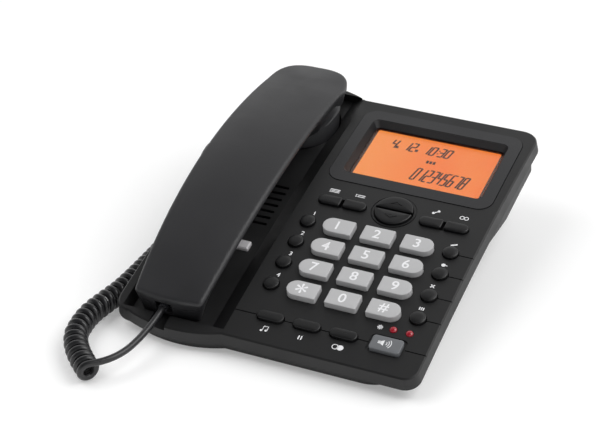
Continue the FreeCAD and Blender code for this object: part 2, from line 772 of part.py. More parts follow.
def tray_outline(inset):
    inset = size(inset)
    left = size("left_edge") + "tray_inset" + inset
    right = size("right_edge") - "tray_inset" - inset
    front = size("front_edge") + "tray_front" + inset
    back = size("back_edge") - "tray_inset" - inset
    corner = size("tray_corner") - inset
    rear = size(6.0) - inset
    return [
        ("crest_line", front),
        (right - corner, front, corner),
        (right, front + corner),
        (right, back - rear, rear),
        (right - rear, back),
        (left + rear, back, rear),
        (left, back - rear),
        (left, front + 13.0, size(23.0) - inset),
        (left + 17.0, front - 3.0, size(72.0) - inset),
    ]


def belly_outline(inset):
    """The belly's plan; it stands back less on the left, where it clears the ear cup's bowl."""
    inset = size(inset)
    left = size("left_edge") + inset
    right = size("right_edge") - "belly_inset" + "right_flare" - inset
    front = size(0.0) - 20.0
    back = size("back_edge") - "belly_inset" - inset
    corner = size(7.0) - inset
    return [
        (left, front),
        (right, front),
        (right, back - corner, corner),
        (right - corner, back),
        (left + corner, back, corner),
        (left, back - corner),
    ]


def belly_profile(lift):
    """Side view of the room over the belly's front slope."""
    lift = size(lift)
    front = size("belly_front")
    fall = (size("belly_depth") - upper_depth - 1) / (size("belly_level") - front)
    low = -upper_depth - 1 - drop("belly_front") + lift
    far = 80.0
    return [
        (front, 5.0),
        (front, low),
        (front + far, low - fall * far),
        (160.0, low - fall * far),
        (160.0, 5.0),
    ]


def lower_form(name, inset, top):
    """The lower housing's outside, or its inside when drawn in by the wall."""
    tray = common(
        f"{name}_tray",
        extrude(f"{name}_tray_plan", tray_outline(inset), 10.0, 60.0),
        slab(f"{name}_tray_slab", top, size(inset) - "tray_depth"),
    )
    slope_place = Placement(Vector(VALUES["left_edge"] - 10, 0, 0), Rotation()).multiply(PROFILE)
    slope = extrude(f"{name}_slope", belly_profile(size(inset) * 1.1), 200.0, 0.0, slope_place)
    belly_plan = extrude(f"{name}_belly_plan", belly_outline(inset), 10.0, 60.0)
    belly_slab = slab(f"{name}_belly_slab", top, size(inset) - "belly_depth")
    belly = common(f"{name}_belly", common(f"{name}_belly_room", belly_plan, belly_slab), slope)
    well_plan = rectangle(34.0 - inset * 2, 28.0 - inset * 2, 4.0 - inset, VALUES["plunger_u"], 2.4)
    well = extrude(f"{name}_well", well_plan, -9.0, size("well_depth") - inset)
    return fuse(name, tray, belly, well)


rim_plan = extrude("rim_plan", deck_outline("rim_inset"), 10.0, 60.0)
rim = common("rim", rim_plan, slab("rim_slab", -upper_depth, -upper_depth - "rim_thick"))
lower_outside = fuse("lower_outside", lower_form("lower_body", 0.0, -upper_depth), rim)
lower_inside = lower_form("lower_room", VALUES["floor_thick"], -upper_depth + 1)
floor_features = []
floor_cuts = []
lower_block = lower_form("lower_block", 0.0, -upper_depth - 2.1)
for index, (u, v) in enumerate(SCREWS):
    place = on_deck(u, v)
    tube = cylinder(f"tube_{index}", 4.0, -30.0, -boss_end - 0.1, place)
    floor_features.append(tube)
    floor_cuts.append(cylinder(f"tube_hole_{index}", size("screw_shank") + 0.3, -30.0, 0.0, place))
    floor_cuts.append(cylinder(f"tube_head_{index}", size("screw_head") + 0.4, -30.0, -boss_end - 2.1, place))
for index, (u, v) in enumerate([(-38.0, -46.0), (38.5, -45.0), (-38.0, 46.0), (38.0, 46.0)]):
    place = Placement(Vector(u, v, 0), Rotation())
    floor_features.append(box(f"pad_{index}", (-2.5, -2.5, -30.0), (2.5, 2.5, -board_bottom), place))
module_top = size("bezel_thick") + "seat_gap" + drop(size("module_height") / 2)
module_bottom = module_top + "module_thick"
for index, (x, y) in enumerate([(-34.0, -20.0), (34.0, -20.0), (-34.0, 20.0), (34.0, 20.0)]):
    place = DISPLAY.multiply(Placement(Vector(x, y, 0), Rotation()))
    floor_features.append(box(f"leg_{index}", (-2.5, -2.5, -30.0), (2.5, 2.5, -module_bottom - 0.05), place))
pillars = common("pillars", group("pillar_set", *floor_features), lower_block)

BASE_JACK = on_arch(VALUES["left_edge"], VALUES["base_jack_v"], -VALUES["base_jack_depth"])
LINE_JACK = on_arch(VALUES["line_jack_u"], VALUES["back_edge"] - VALUES["belly_inset"], -14.0)
jack_gap = 0.3
floor_cuts.append(box(
    "base_jack_hole",
    (-5.0, -size("jack_width") / 2 - jack_gap, -size("jack_height") / 2 - jack_gap),
    (5.0, size("jack_width") / 2 + jack_gap, size("jack_height") / 2 + jack_gap),
    BASE_JACK,
))
floor_cuts.append(box("line_jack_hole", (-6.9, -5.0, -5.4), (6.9, 5.0, 5.4), LINE_JACK))
floor_cuts.append(cylinder("bowl_room", recess_radius + 1.3, -recess_bottom - 1.6, 3.0, EAR))
lower = cut("lower_whole", fuse("lower_shell", cut("lower_hollow", lower_outside, lower_inside), pillars),
            *floor_cuts)
keep("lower_housing", lower)

shell_screws = []
for index, (u, v) in enumerate(SCREWS):
    place = on_deck(u, v, -(boss_end.value + 2.1))
    head = cylinder(f"screw_head_{index}", "screw_head", -1.8, 0.0, place)
    shank = cylinder(f"screw_shank_{index}", "screw_shank", -1.0, 6.5, place)
    shell_screws.append(fuse(f"screw_{index}", head, shank))
keep("housing_screws", group("housing_screw_set", *shell_screws))


# Display: frame, window and module, one under another

frame_plan = rectangle("bezel_width", "bezel_height", "bezel_corner")
frame_block = extrude("frame_block", frame_plan, 3.0, 12.0, DISPLAY)
frame_body = common("frame_body", frame_block, slab("frame_slab", 0.3, -size("bezel_thick")))
lip_plan = rectangle(size("bezel_width") + 2.6, size("bezel_height") + 2.6, size("bezel_corner") + 1.3)
lip_block = extrude("lip_block", lip_plan, 0.0, 9.0, DISPLAY)
frame_lip = common("frame_lip", lip_block, slab("lip_slab", -flange_top, -size("bezel_thick")))
dish_top = rectangle(size("window_width") + 5.0, size("window_height") + 5.0, 4.0)
dish = loft("dish", -VALUES["window_depth"], rectangle("window_width", "window_height", 2.5),
            1.0, dish_top, DISPLAY)
sight = extrude("sight", rectangle("window_width", "window_height", 2.5), 1.0, 8.0, DISPLAY)
window_seat = extrude(
    "window_seat", rectangle(size("window_width") + 4.0, size("window_height") + 4.0, 3.0),
    -size("window_depth"), 9.0, DISPLAY,
)
bezel = cut("bezel_whole", fuse("bezel_solid", frame_body, frame_lip), dish, sight, window_seat)
keep("display_bezel", bezel)
window_outline = rectangle(size("window_width") + 3.4, size("window_height") + 3.4, 2.7)
window = extrude(
    "window", window_outline, -size("window_depth") - 0.05,
    size("window_depth") + "window_thick", DISPLAY,
)
keep("display_window", window)
module_half = size("module_height") / 2
module = box("module", (-41.0, -module_half, -module_bottom), (41.0, module_half, -module_top), DISPLAY)
keep("display_module", module)


# Electronics: rubber membrane, board, lamps, loudspeaker, hook switch and jacks

def flat(u, v, w=0.0):
    return Placement(Vector(u, v, w), Rotation())


domes = []
for key in keys:
    place = flat(key.u.value, key.v.value + key.offset.value)
    domes.append(box(
        f"dome_{key.name}", (-2.7, -2.7, -membrane_base), (2.7, 2.7, -size("membrane_top")), place
    ))
sheet_low = -membrane_base
sheet_top = sheet_low + "membrane_thick"


def cornered(left, front, right, back):
    """A rectangle with its front right corner cut off, where the tray is rounded."""
    return [(left, front), (right - 7.0, front), (right, size(front) + 9.8), (right, back), (left, back)]


membrane_plan = cornered(-43.5, -49.0, 43.0, 49.8)
membrane_sheet = extrude("membrane_sheet", membrane_plan, sheet_top, -sheet_low)
sheet_holes = []
for index, (u, v) in enumerate(POSTS):
    sheet_holes.append(box(f"sheet_hole_{index}", (-2.1, -2.1, -20.0), (2.1, 2.1, 0.0), flat(u, v)))
for index, lamp in enumerate(LAMPS):
    sheet_holes.append(box(f"sheet_lamp_{index}", (-1.5, -1.5, -20.0), (1.5, 1.5, 0.0), lamp))
keep("keypad_membrane", cut("membrane", fuse("membrane_body", membrane_sheet, *domes), *sheet_holes))

board_sheet = extrude("board_sheet", cornered(-44.0, -49.8, 43.5, 50.2), -board_top, board_bottom)
chips = [
    box("board_tab", (-32.0, 48.0, -board_bottom), (32.0, 59.0, -board_top)),
    box("chip_main", (-12.0, 48.5, -board_bottom - 0.7), (6.0, 57.5, -board_bottom)),
    box("chip_line", (16.0, 49.0, -board_bottom - 0.7), (30.0, 56.0, -board_bottom)),
]
keep("main_board", fuse("board", board_sheet, *chips))

lamps = []
for index, lamp in enumerate(LAMPS):
    low = drop("led_v") - board_top + 0.05
    lens = cylinder(f"lens_{index}", "led_radius", -3.4, 0.5, lamp)
    collar = box(f"collar_{index}", (-2.4, -2.4, -3.4), (2.4, 2.4, -flange_top), lamp)
    legs = box(f"legs_{index}", (-1.1, -0.4, low), (1.1, 0.4, -3.0), lamp)
    lamps.append(fuse(f"lamp_{index}", lens, collar, legs))
keep("indicator_leds", group("lamps", *lamps))

SPEAKER = on_arch((VALUES["grille_left"] + VALUES["grille_right"]) / 2, VALUES["grille_v"])
speaker_top = upper_depth + "seat_gap"
speaker_low = speaker_top + "loudspeaker_thick"
basket = cylinder("basket", "loudspeaker_radius", -speaker_top - 1.8, -speaker_top, SPEAKER)
cone_room = cone("cone_room", 6.0, size("loudspeaker_radius") - 2, -speaker_top - 1.3, -speaker_top, SPEAKER)
magnet = cylinder("magnet", size("loudspeaker_radius") * 0.53, -speaker_low, -speaker_top - 1.6, SPEAKER)
keep("loudspeaker", cut("speaker_whole", fuse("speaker_body", basket, magnet), cone_room))

foot_top = upper_depth + "plunger_travel" + 0.3
cap_plan = rectangle("plunger_width", "plunger_length", 0.8)
plunger_cap = extrude("plunger_cap", cap_plan, -size("plunger_top"), foot_top + 1.2, PLUNGER)
plunger_cap = dress(
    "Chamfer", "plunger_bevelled", plunger_cap, 0.6,
    lambda edge: edge.BoundBox.ZMin > PLUNGER.Base.z - VALUES["plunger_top"] - 0.05,
)
foot_plan = rectangle(size("plunger_width") + 3.0, size("plunger_length") + 3.0, 1.0)
plunger_foot = extrude("plunger_foot", foot_plan, -foot_top, foot_top + 1.2, PLUNGER)
keep("hook_plunger", fuse("plunger", plunger_cap, plunger_foot))
switch_top = foot_top + 1.2 + 0.3
switch_floor = size("well_depth") - "floor_thick" - 0.1
switch_body = box("switch_body", (-8.0, -6.0, -switch_floor), (8.0, 6.0, -switch_top - 0.8), PLUNGER)
switch_button = cylinder("switch_button", 1.8, -switch_top - 1.5, -switch_top, PLUNGER)
keep("hook_switch", fuse("switch", switch_body, switch_button))


def socket(name, width, height, length, wall, place):
    """A jack that opens towards -Y of its place, with its face at y = 0."""
    width, height = size(width), size(height)
    body = box(f"{name}_body", (-width / 2, 0.0, -height / 2), (width / 2, length, height / 2), place)
    low = (-width / 2 + wall, -1.0, -height / 2 + wall)
    high = (width / 2 - wall, size(length) - 1.5, height / 2 - wall)
    return cut(name, body, box(f"{name}_room", low, high, place))


turn_left = Placement(Vector(), Rotation(Vector(0, 0, 1), -90))
turn_back = Placement(Vector(), Rotation(Vector(0, 0, 1), 180))
BASE_PORT = BASE_JACK.multiply(turn_left)
LINE_PORT = LINE_JACK.multiply(turn_back)
keep("base_handset_jack", socket(
    "base_jack", "jack_width", "jack_height", "jack_length", "jack_wall", BASE_PORT))
keep("line_jack", socket("line_port", 13.2, 10.2, 15.0, 1.2, LINE_PORT))
keep("handset_jack", socket(
    "top_jack", "jack_width", "jack_height", "jack_length", "jack_wall", HANDSET_JACK))


def plug(name, place, reach):
    """A modular plug in its jack; its round boot stands out by reach, towards -Y of the place."""
    width, height = size("plug_width"), size("plug_height")
    body = box(f"{name}_body", (-width / 2, -0.5, -height / 2), (width / 2, "plug_length", height / 2), place)
    lever = box(f"{name}_lever", (-1.5, 0.4, height / 2), (1.5, 9.0, height / 2 + 0.4), place)
    boot_place = place.multiply(Placement(Vector(), Rotation(Vector(1, 0, 0), 90)))
    boot = cylinder(f"{name}_boot", 2.4, 0.0, reach, boot_place)
    return keep(name, fuse(f"{name}_whole", body, lever, boot))


BOOT = 4.2
plug("handset_plug", HANDSET_JACK, BOOT)
plug("base_plug", BASE_PORT, 2.0)


# Handset: a curved form hollowed out, split along a seam, with the ear cup on its lower shell

half_length = size("handset_length") / 2
back_rise = size("handset_rise")
back_radius = (half_length * half_length + back_rise * back_rise) / (back_rise * 2)


def handset_outline(inset):
    inset = size(inset)
    half = size("handset_half") - inset
    ear = size("ear_radius") - inset
    front = -half_length + inset + 1.8
    ear_y = half_length - "ear_radius"
    corner = size("handset_corner") - inset * 0.6
    side = size("handset_side")
    return [
        (corner - half, front, 75.0),
        (half - corner, front, corner),
        (half, front + corner, side),
        (ear, ear_y, ear),
        (0.0, ear_y + ear, ear),
        (-ear, ear_y, side),
        (-half, front + corner, corner),
    ]


def resting(y):
    """Height of the handset's resting underside at y."""
    return size("rest_gap") - "trough_depth" - drop(y)


def underside(lift):
    """Side view of the room under the handset."""
    far = half_length + 6
    press = 0.15 - size("plunger_top") - drop(41.0)
    return [
        (-far, -60.0),
        (far, -60.0),
        (far, size(-1.8) + lift),
        (36.0, size(1.5) + lift, 118.0),
        (-36.0, press + lift),
        (-47.0, press + lift),
        (-60.0, resting(60.0) + lift),
        (-far + 10.0, resting(far - 10.0) + lift),
        (-far, size(1.9) + lift),
    ]


def handset_form(name, inset):
    """The handset without its ear cup, drawn in by inset."""
    slope = math.tan(math.radians(VALUES["handset_draft"]))
    level = VALUES["handset_level"]
    low, high = -14.0, 26.0
    plan = loft(
        f"{name}_plan",
        low, handset_outline((level - low) * slope + inset),
        high, handset_outline((level - high) * slope + inset),
        HANDSET,
    )
    top = size("handset_top") - inset
    crown = size("handset_crown") - inset
    side = top - crown + (crown * crown - 36.0 * 36.0).root()
    section = [(-36.0, -30.0), (36.0, -30.0), (36.0, side, crown), (-36.0, side)]
    back = follow_arch(f"{name}_back", section, back_radius - inset, HANDSET, top, 46.0)
    return common(f"{name}_block", plan, back)


def room_below(name, lift):
    side_view = HANDSET.multiply(Placement(Vector(-40, 0, 0), Rotation())).multiply(PROFILE)
    return extrude(name, underside(lift), 80.0, 0.0, side_view)


def on_back(edge):
    """Whether an edge of the handset lies on its crowned back all along."""
    for point in edge.discretize(5):
        spot = HANDSET.inverse().multVec(point)
        arch = back_radius.value
        crown = VALUES["handset_crown"]
        reach = math.hypot(spot.y, spot.z - VALUES["handset_top"] + arch) - arch
        if abs(reach - math.sqrt(crown ** 2 - spot.x ** 2) + crown) > 0.01:
            return False
    return True


def ear_cup(name, inset):
    """The round cup over the ear: a bevelled rim, a slow cone and a shoulder."""
    face = -size("ear_cup_depth") + inset
    low = size("ear_cup_bottom") - inset
    high = size("ear_cup_top") - inset
    return fuse(
        name,
        cone(f"{name}_rim", low - 1.6, low, face, face + 1.6, EAR),
        cone(f"{name}_wall", low, high, face + 1.6, 2.0, EAR),
        cone(f"{name}_shoulder", high, high - 4.5, 2.0, 9.0, EAR),
    )


handset_wall = VALUES["handset_wall"]
outer_block = dress("Fillet", "outer_rounded", handset_form("outer", 0.0), "handset_edge", on_back)
outer_form = fuse("outer_form", cut("outer_cut", outer_block, room_below("outer_room", 0.0)),
                  ear_cup("outer_cup", 0.0))
inner_form = fuse(
    "inner_form",
    cut("inner_cut", handset_form("inner", handset_wall), room_below("inner_room", handset_wall)),
    ear_cup("inner_cup", handset_wall),
)
seam_radius = back_radius - "handset_seam"
seam_top = size("handset_top") - "handset_seam"
over_seam = follow_arch(
    "over_seam", [(-40.0, seam_top), (40.0, seam_top), (40.0, 30.0), (-40.0, 30.0)],
    seam_radius, HANDSET, seam_top, 46.0,
)
under_seam = follow_arch(
    "under_seam", [(-40.0, -60.0), (40.0, -60.0), (40.0, seam_top - 0.25), (-40.0, seam_top - 0.25)],
    seam_radius, HANDSET, seam_top, 46.0,
)
shell = cut("handset_shell", outer_form, inner_form)

HANDSET_SCREWS = [(0.0, HANDSET_FRONT + 30.0, -6.4), (0.0, 22.0, 4.2)]
head_seat = 2.2
posts = []
pads = []
shell_holes = []
grips = []
for index, (x, y, skin) in enumerate(HANDSET_SCREWS):
    place = HANDSET.multiply(Placement(Vector(x, y, skin), Rotation()))
    posts.append(cylinder(f"grip_post_{index}", 3.0, head_seat + 2.0, 40.0, place))
    pads.append(cylinder(f"grip_pad_{index}", 4.4, -4.0, head_seat + 1.9, place))
    grips.append(cylinder(f"grip_pilot_{index}", size("screw_shank") + 0.3, 0.0, 10.5, place))
    shell_holes.append(cylinder(f"grip_hole_{index}", size("screw_shank") + 0.3, -9.0, 10.0, place))
    shell_holes.append(cylinder(f"grip_head_{index}", size("screw_head") + 0.4, -9.0, head_seat, place))
post_form = common("post_form", group("post_set", *posts), inner_form)
pad_form = common("pad_form", group("pad_set", *pads), outer_form)
plug_window = box(
    "plug_window",
    (-size("jack_width") / 2 + 0.9, -10.0, -size("jack_height") / 2 + 0.9),
    (size("jack_width") / 2 - 0.9, 3.0, size("jack_height") / 2 - 0.9),
    HANDSET_JACK,
)
top_solid = fuse("top_shell_solid", common("top_skin", shell, over_seam), post_form)
top_shell = cut("top_shell", top_solid, plug_window, *grips)
keep("handset_top_shell", top_shell)
for index, (x, y) in enumerate([(0, 0)] + [(5 * math.cos(math.pi * k / 3), 5 * math.sin(math.pi * k / 3))
                                           for k in range(6)]):
    place = EAR.multiply(Placement(Vector(x, y, 0), Rotation()))
    shell_holes.append(cylinder(f"ear_hole_{index}", 1.1, -12.0, -4.0, place))
mouth_y = HANDSET_FRONT + VALUES["mouth_back"]
MOUTH = HANDSET.multiply(Placement(Vector(9.0, mouth_y, 0), Rotation()))
shell_holes.append(cylinder("mouth_hole", 0.9, -12.0, -3.0, MOUTH))
shell_holes.append(plug_window)
bottom_solid = fuse("bottom_shell_solid", common("bottom_skin", shell, under_seam), pad_form)
keep("handset_bottom_shell", cut("bottom_shell", bottom_solid, *shell_holes))
grip_screws = []
for index, (x, y, skin) in enumerate(HANDSET_SCREWS):
    place = HANDSET.multiply(Placement(Vector(x, y, skin + head_seat), Rotation()))
    head = cylinder(f"grip_screw_head_{index}", "screw_head", -1.8, 0.0, place)
    shank = cylinder(f"grip_screw_shank_{index}", "screw_shank", -1.0, 7.5, place)
    grip_screws.append(fuse(f"grip_screw_{index}", head, shank))
keep("handset_screws", group("grip_screw_set", *grip_screws))

capsule_low = -size("ear_cup_depth") + handset_wall + 0.1
keep("earpiece_capsule", cylinder("earpiece", 15.5, capsule_low, capsule_low + 5.0, EAR))
mouth_low = resting(mouth_y + 5.0) + handset_wall + 0.1
keep("microphone_capsule", cylinder("microphone", 4.8, mouth_low, mouth_low + 3.8, MOUTH))


# Stand and feet, upright on the table; TABLE lies on it under the keypad's middle

TABLE = Placement(Vector(VALUES["keypad_x"], VALUES["keypad_y"], 0), Rotation())
UPRIGHT = DECK.inverse().multiply(TABLE)
belly_room = slab("belly_room", 30.0, -size("belly_depth"))
stand_block = box(
    "stand_block", ("stand_left", "stand_front", "foot_thick"), ("stand_right", "stand_back", 60.0), UPRIGHT
)
stand_wall = size("stand_wall")
stand_inside = box(
    "stand_inside",
    (size("stand_left") + stand_wall, size("stand_front") + stand_wall, size("foot_thick") + stand_wall),
    (size("stand_right") - stand_wall, size("stand_back") - stand_wall, 60.0),
    UPRIGHT,
)
keep("desk_stand", cut("stand", stand_block, stand_inside, belly_room))
rear_feet = []
for index, x in enumerate((VALUES["stand_left"] + 11, VALUES["stand_right"] - 11)):
    place = UPRIGHT.multiply(Placement(Vector(x, VALUES["stand_back"] - 10, 0), Rotation()))
    rear_feet.append(cylinder(f"rear_foot_{index}", "foot_radius", 0.0, "foot_thick", place))
keep("rear_feet", group("rear_foot_set", *rear_feet))
tray_room = slab("tray_room", 30.0, -size("tray_depth"))
front_feet = []
for index, (x, y) in enumerate([(-92.0, -32.0), (30.0, -32.0)]):
    place = UPRIGHT.multiply(Placement(Vector(x, y, 0), Rotation()))
    front_feet.append(cut(
        f"front_foot_{index}",
        cylinder(f"front_foot_bar_{index}", "foot_radius", 0.0, 30.0, place),
        tray_room,
    ))
keep("front_feet", group("front_foot_set", *front_feet))


# Cord: a straight lead from each plug and one unbroken coil between them, on the table

CORD = VALUES["cord_diameter"]
CURL = VALUES["coil_radius"]


def rounded_path(points):
    """Straight runs joined by tangent arcs that take 0.45 of the shorter run on either side."""
    edges = []
    radii = []
    start = points[0]
    for before, corner, after in zip(points, points[1:], points[2:]):
        reach = 0.45 * min((corner - before).Length, (after - corner).Length)
        into = (corner - before).normalize()
        out = (after - corner).normalize()
        first = corner - into * reach
        last = corner + out * reach
        half_turn = into.getAngle(out) / 2
        radius = reach / math.tan(half_turn)
        inward = (out - into).normalize()
        middle = corner + inward * (radius / math.cos(half_turn) - radius)
        edges.append(Part.LineSegment(start, first).toShape())
        edges.append(Part.Arc(first, middle, last).toShape())
        radii.append(round(radius, 1))
        start = last
    edges.append(Part.LineSegment(start, points[-1]).toShape())
    return edges, radii


def sweep(name, edges, section):
    """Carries a closed section along edges that follow on from each other."""
    spine = Part.Wire(edges)
    solid = spine.makePipeShell([section], True, False)
    if solid.Volume < 0:
        solid.reverse()
    area = Part.Face(section).Area
    print(f"{name}: length {spine.Length:.1f}, volume {solid.Volume:.1f}, expected {area * spine.Length:.1f}")
    tube = doc.addObject("Part::Feature", f"{name}_tube")
    tube.Shape = solid
    return keep(name, tube, Placement())


def lead(name, points):
    edges, radii = rounded_path(points)
    print(f"{name}: bend radii {radii}")
    circle = Part.Circle(points[0], points[1] - points[0], CORD / 2)
    sweep(name, edges, Part.Wire(circle.toShape()))


CURLS = int(VALUES["curl_count"])
AXIS_HEIGHT = CURL + CORD / 2 + 0.25
axis_corners = [
    (-99.5, -105.0), (-119.5, -89.0), (-124.5, -65.0), (-122.0, -49.0), (-118.1, -30.0), (-118.0, 24.0)
]
axis_edges, axis_radii = rounded_path(
    [TABLE.multVec(Vector(x, y, AXIS_HEIGHT)) for x, y in axis_corners]
)
axis_length = sum(edge.Length for edge in axis_edges)
pitch = (axis_length - math.pi * CURL / 2) / (CURLS - 0.25)
print(f"coil: axis {axis_length:.1f}, curl pitch {pitch:.2f}, axis bend radii {axis_radii}")


def along_axis(distance):
    """Point and heading of the coil's axis at a distance from its start."""
    for edge in axis_edges:
        if distance <= edge.Length or edge is axis_edges[-1]:
            parameter = edge.getParameterByLength(min(max(distance, 0.0), edge.Length))
            return edge.valueAt(parameter), edge.tangentAt(parameter)
        distance -= edge.Length


def axis_run(turn):
    """How far the curls have come along the axis after so much turn; the last half turn is drawn out."""
    steady = 2 * math.pi * CURLS - math.pi
    slow = pitch / (2 * math.pi)
    rest = max(turn - steady, 0.0)
    return min(turn, steady) * slow + rest * slow + (CURL - slow) * rest * rest / (2 * math.pi)


def curl_point(turn):
    centre, heading = along_axis(axis_run(turn))
    aside = heading.cross(Vector(0, 0, 1))
    return centre + Vector(0, 0, CURL * math.cos(turn)) - aside * (CURL * math.sin(turn))


def curl_heading(turn):
    step = 0.001
    last = 2 * math.pi * CURLS
    return (curl_point(min(turn + step, last)) - curl_point(max(turn - step, 0.0))).normalize()


def arc_from(start, heading, end):
    """The arc that leaves start along heading and arrives at end."""
    chord = end - start
    across = chord - heading * chord.dot(heading)
    radius = chord.dot(chord) / (2 * across.Length)
    centre = start + across.normalize() * radius
    middle = centre + ((start + end) * 0.5 - centre).normalize() * radius
    return Part.Arc(start, middle, end).toShape()


def biarc(start, heading, end, final):
    """Two tangent arcs from one point and heading to another."""
    chord = end - start
    both = heading + final
    spread = 2 * (1 - heading.dot(final))
    reach = chord.dot(both)
    step = (math.sqrt(reach * reach + spread * chord.dot(chord)) - reach) / spread
    middle = (start + end) * 0.5 + (heading - final) * (step / 2)
    first = arc_from(start, heading, middle)
    second = arc_from(end, final * -1, middle)
    second.reverse()
    return [first, Part.Arc(middle, second.valueAt(sum(second.ParameterRange) / 2), end).toShape()]


quarter = math.pi / 2
turns = [quarter * index for index in range(4 * CURLS + 1)]
coil_head = curl_heading(turns[0])
coil_tail = curl_heading(turns[-1])
coil_start = curl_point(turns[0]) - coil_head * CORD
coil_end = curl_point(turns[-1]) + coil_tail * CORD
coil_edges = [Part.LineSegment(coil_start, curl_point(turns[0])).toShape()]
for turn, following in zip(turns, turns[1:]):
    coil_edges += biarc(curl_point(turn), curl_heading(turn), curl_point(following), curl_heading(following))
coil_edges.append(Part.LineSegment(curl_point(turns[-1]), coil_end).toShape())
beads = [curl_point(turns[-1] * index / (24 * CURLS)) for index in range(24 * CURLS + 1)]
nearest = min(
    (beads[index] - beads[other]).Length
    for index in range(len(beads))
    for other in range(index + 12, min(index + 60, len(beads)))
)
print(f"coil: least gap to itself {nearest - CORD:.2f}")
side = coil_head.cross(Vector(0, 0, 1)).normalize()
rise = side.cross(coil_head).normalize()
corners = [
    coil_start + side * (CORD / 2 * math.cos(math.pi * k / 3)) + rise * (CORD / 2 * math.sin(math.pi * k / 3))
    for k in range(6)
]
sweep("curly_cord", coil_edges, Part.makePolygon(corners + corners[:1]))

port = DECK.multiply(HANDSET_JACK)
out = port.Rotation.multVec(Vector(0, -1, 0))
exit_point = port.multVec(Vector(0, -BOOT - 0.15, 0))
approach = coil_start - coil_head * 10.5
lead("handset_lead", [exit_point, exit_point + out * 17.0, approach, coil_start])

port = DECK.multiply(BASE_PORT)
plug_exit = port.multVec(Vector(0, -2.0, 0))
bends = [
    (-10.5, 0.0, 0.0),
    (-17.9, -3.2, -6.7),
    (-19.1, -11.8, -15.0),
    (-15.2, -24.0, -17.1),
    (-16.5, -37.5, -19.6),
    (-16.0, -51.0, -20.6),
]
base_points = [plug_exit] + [plug_exit + Vector(*bend) for bend in bends]
base_points += [coil_end + coil_tail * 9.0, coil_end]
lead("base_lead", base_points)


# Checks, and one file for each piece

doc.recompute()
for thing in doc.Objects:
    if "Invalid" in thing.State or "Error" in thing.State:
        raise RuntimeError(f"{thing.Name} did not compute: {thing.State}")
os.makedirs("parts", exist_ok=True)
for name, thing in NODES.items():
    shape = thing.Shape
    if not shape.isValid() or shape.Volume <= 0 or not shape.Solids:
        raise RuntimeError(f"{name} is not a valid solid")
    shape.exportStep(f"parts/{name}.step")
print(f"{len(NODES)} pieces")
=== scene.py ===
# %% [markdown]
# # A corded desk telephone
# The telephone is a wedge of charcoal plastic with a keypad and a tilted display, a handset that
# lies in a trough on its left side, and a curly cord from one to the other. The solids come from a
# CAD model, which fixes every size. This lesson gives them their finishes, draws in the sides of the
# handset's grip, and adds what a solid leaves out: soft key caps, legends, the lit display, the
# contacts and the cord.

# %% Load the frame
import math

import bmesh
import bpy
from mathutils import Matrix, Vector


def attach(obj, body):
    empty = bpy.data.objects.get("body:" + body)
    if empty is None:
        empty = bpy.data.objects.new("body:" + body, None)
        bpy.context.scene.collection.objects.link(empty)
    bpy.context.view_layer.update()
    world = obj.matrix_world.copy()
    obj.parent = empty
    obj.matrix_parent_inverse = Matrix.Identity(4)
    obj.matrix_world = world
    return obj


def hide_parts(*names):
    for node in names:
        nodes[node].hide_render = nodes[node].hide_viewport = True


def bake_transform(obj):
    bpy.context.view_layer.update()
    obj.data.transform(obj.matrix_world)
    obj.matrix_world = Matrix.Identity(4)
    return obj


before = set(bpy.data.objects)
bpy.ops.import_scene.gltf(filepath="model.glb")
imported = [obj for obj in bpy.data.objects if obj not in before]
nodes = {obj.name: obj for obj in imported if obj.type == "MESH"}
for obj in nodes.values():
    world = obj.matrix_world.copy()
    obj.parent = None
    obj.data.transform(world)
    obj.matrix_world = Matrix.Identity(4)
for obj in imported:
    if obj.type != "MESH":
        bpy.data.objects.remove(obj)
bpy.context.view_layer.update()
collection = bpy.context.scene.collection

# %% [markdown]
# ## The camera
# The photograph was taken from the front right, well above the table and with a long lens: the
# sides of the telephone hardly narrow with distance. The three directions below are the camera's
# own right, up and back.

# %% Camera
PHOTO = (611, 424)
FOCAL_PIXELS = 1718.0
CAMERA_PLACE = (0.2941, -0.7223, 0.5019)

camera_data = bpy.data.cameras.new("photo_camera")
camera_data.sensor_width = 36.0
camera_data.lens = FOCAL_PIXELS * camera_data.sensor_width / PHOTO[0]
camera_data.clip_start = 0.05
camera_data.clip_end = 20.0
camera = bpy.data.objects.new("photo_camera", camera_data)
camera_right = Vector((0.9180, 0.3967, -0.0002)).normalized()
camera_back = Vector((0.3402, -0.7870, 0.5146)).normalized()
camera_up = camera_back.cross(camera_right).normalized()
camera_turn = Matrix((camera_right, camera_up, camera_back)).transposed()
camera.matrix_world = Matrix.Translation(CAMERA_PLACE) @ camera_turn.to_4x4()
collection.objects.link(camera)
bpy.context.scene.camera = camera
print("lens in mm:", round(camera_data.lens, 1))

# %% [markdown]
# ## Small tools for materials
# Colours are written as the hex numbers that a screen shows. Blender mixes light in linear values,
# so one function turns one into the other. Another adds a node, sets it up and joins its inputs,
# which keeps each material down to a few lines.

# %% Colours and nodes


def linear(code):
    """The linear colour behind a screen's hex code."""
    parts = [int(code[start:start + 2], 16) / 255 for start in (1, 3, 5)]
    return [part / 12.92 if part <= 0.04045 else ((part + 0.055) / 1.055) ** 2.4 for part in parts] + [1.0]


def add_node(owner, kind, inputs=None, **settings):
    """Adds a node with its settings; an input given as another node's output is linked to it.

    A mix of two colours has several sockets of one name, so its inputs are given by number: 0 is the
    factor, 6 and 7 are the colours, and its output is number 2.
    """
    node = owner.node_tree.nodes.new(kind)
    for name, value in settings.items():
        setattr(node, name, value)
    for name, value in (inputs or {}).items():
        if isinstance(value, bpy.types.NodeSocket):
            owner.node_tree.links.new(value, node.inputs[name])
        else:
            node.inputs[name].default_value = value
    return node


def new_material(name):
    """An empty material and its output node."""
    material = bpy.data.materials.new(name)
    material.use_nodes = True
    material.node_tree.nodes.clear()
    return material, add_node(material, "ShaderNodeOutputMaterial")


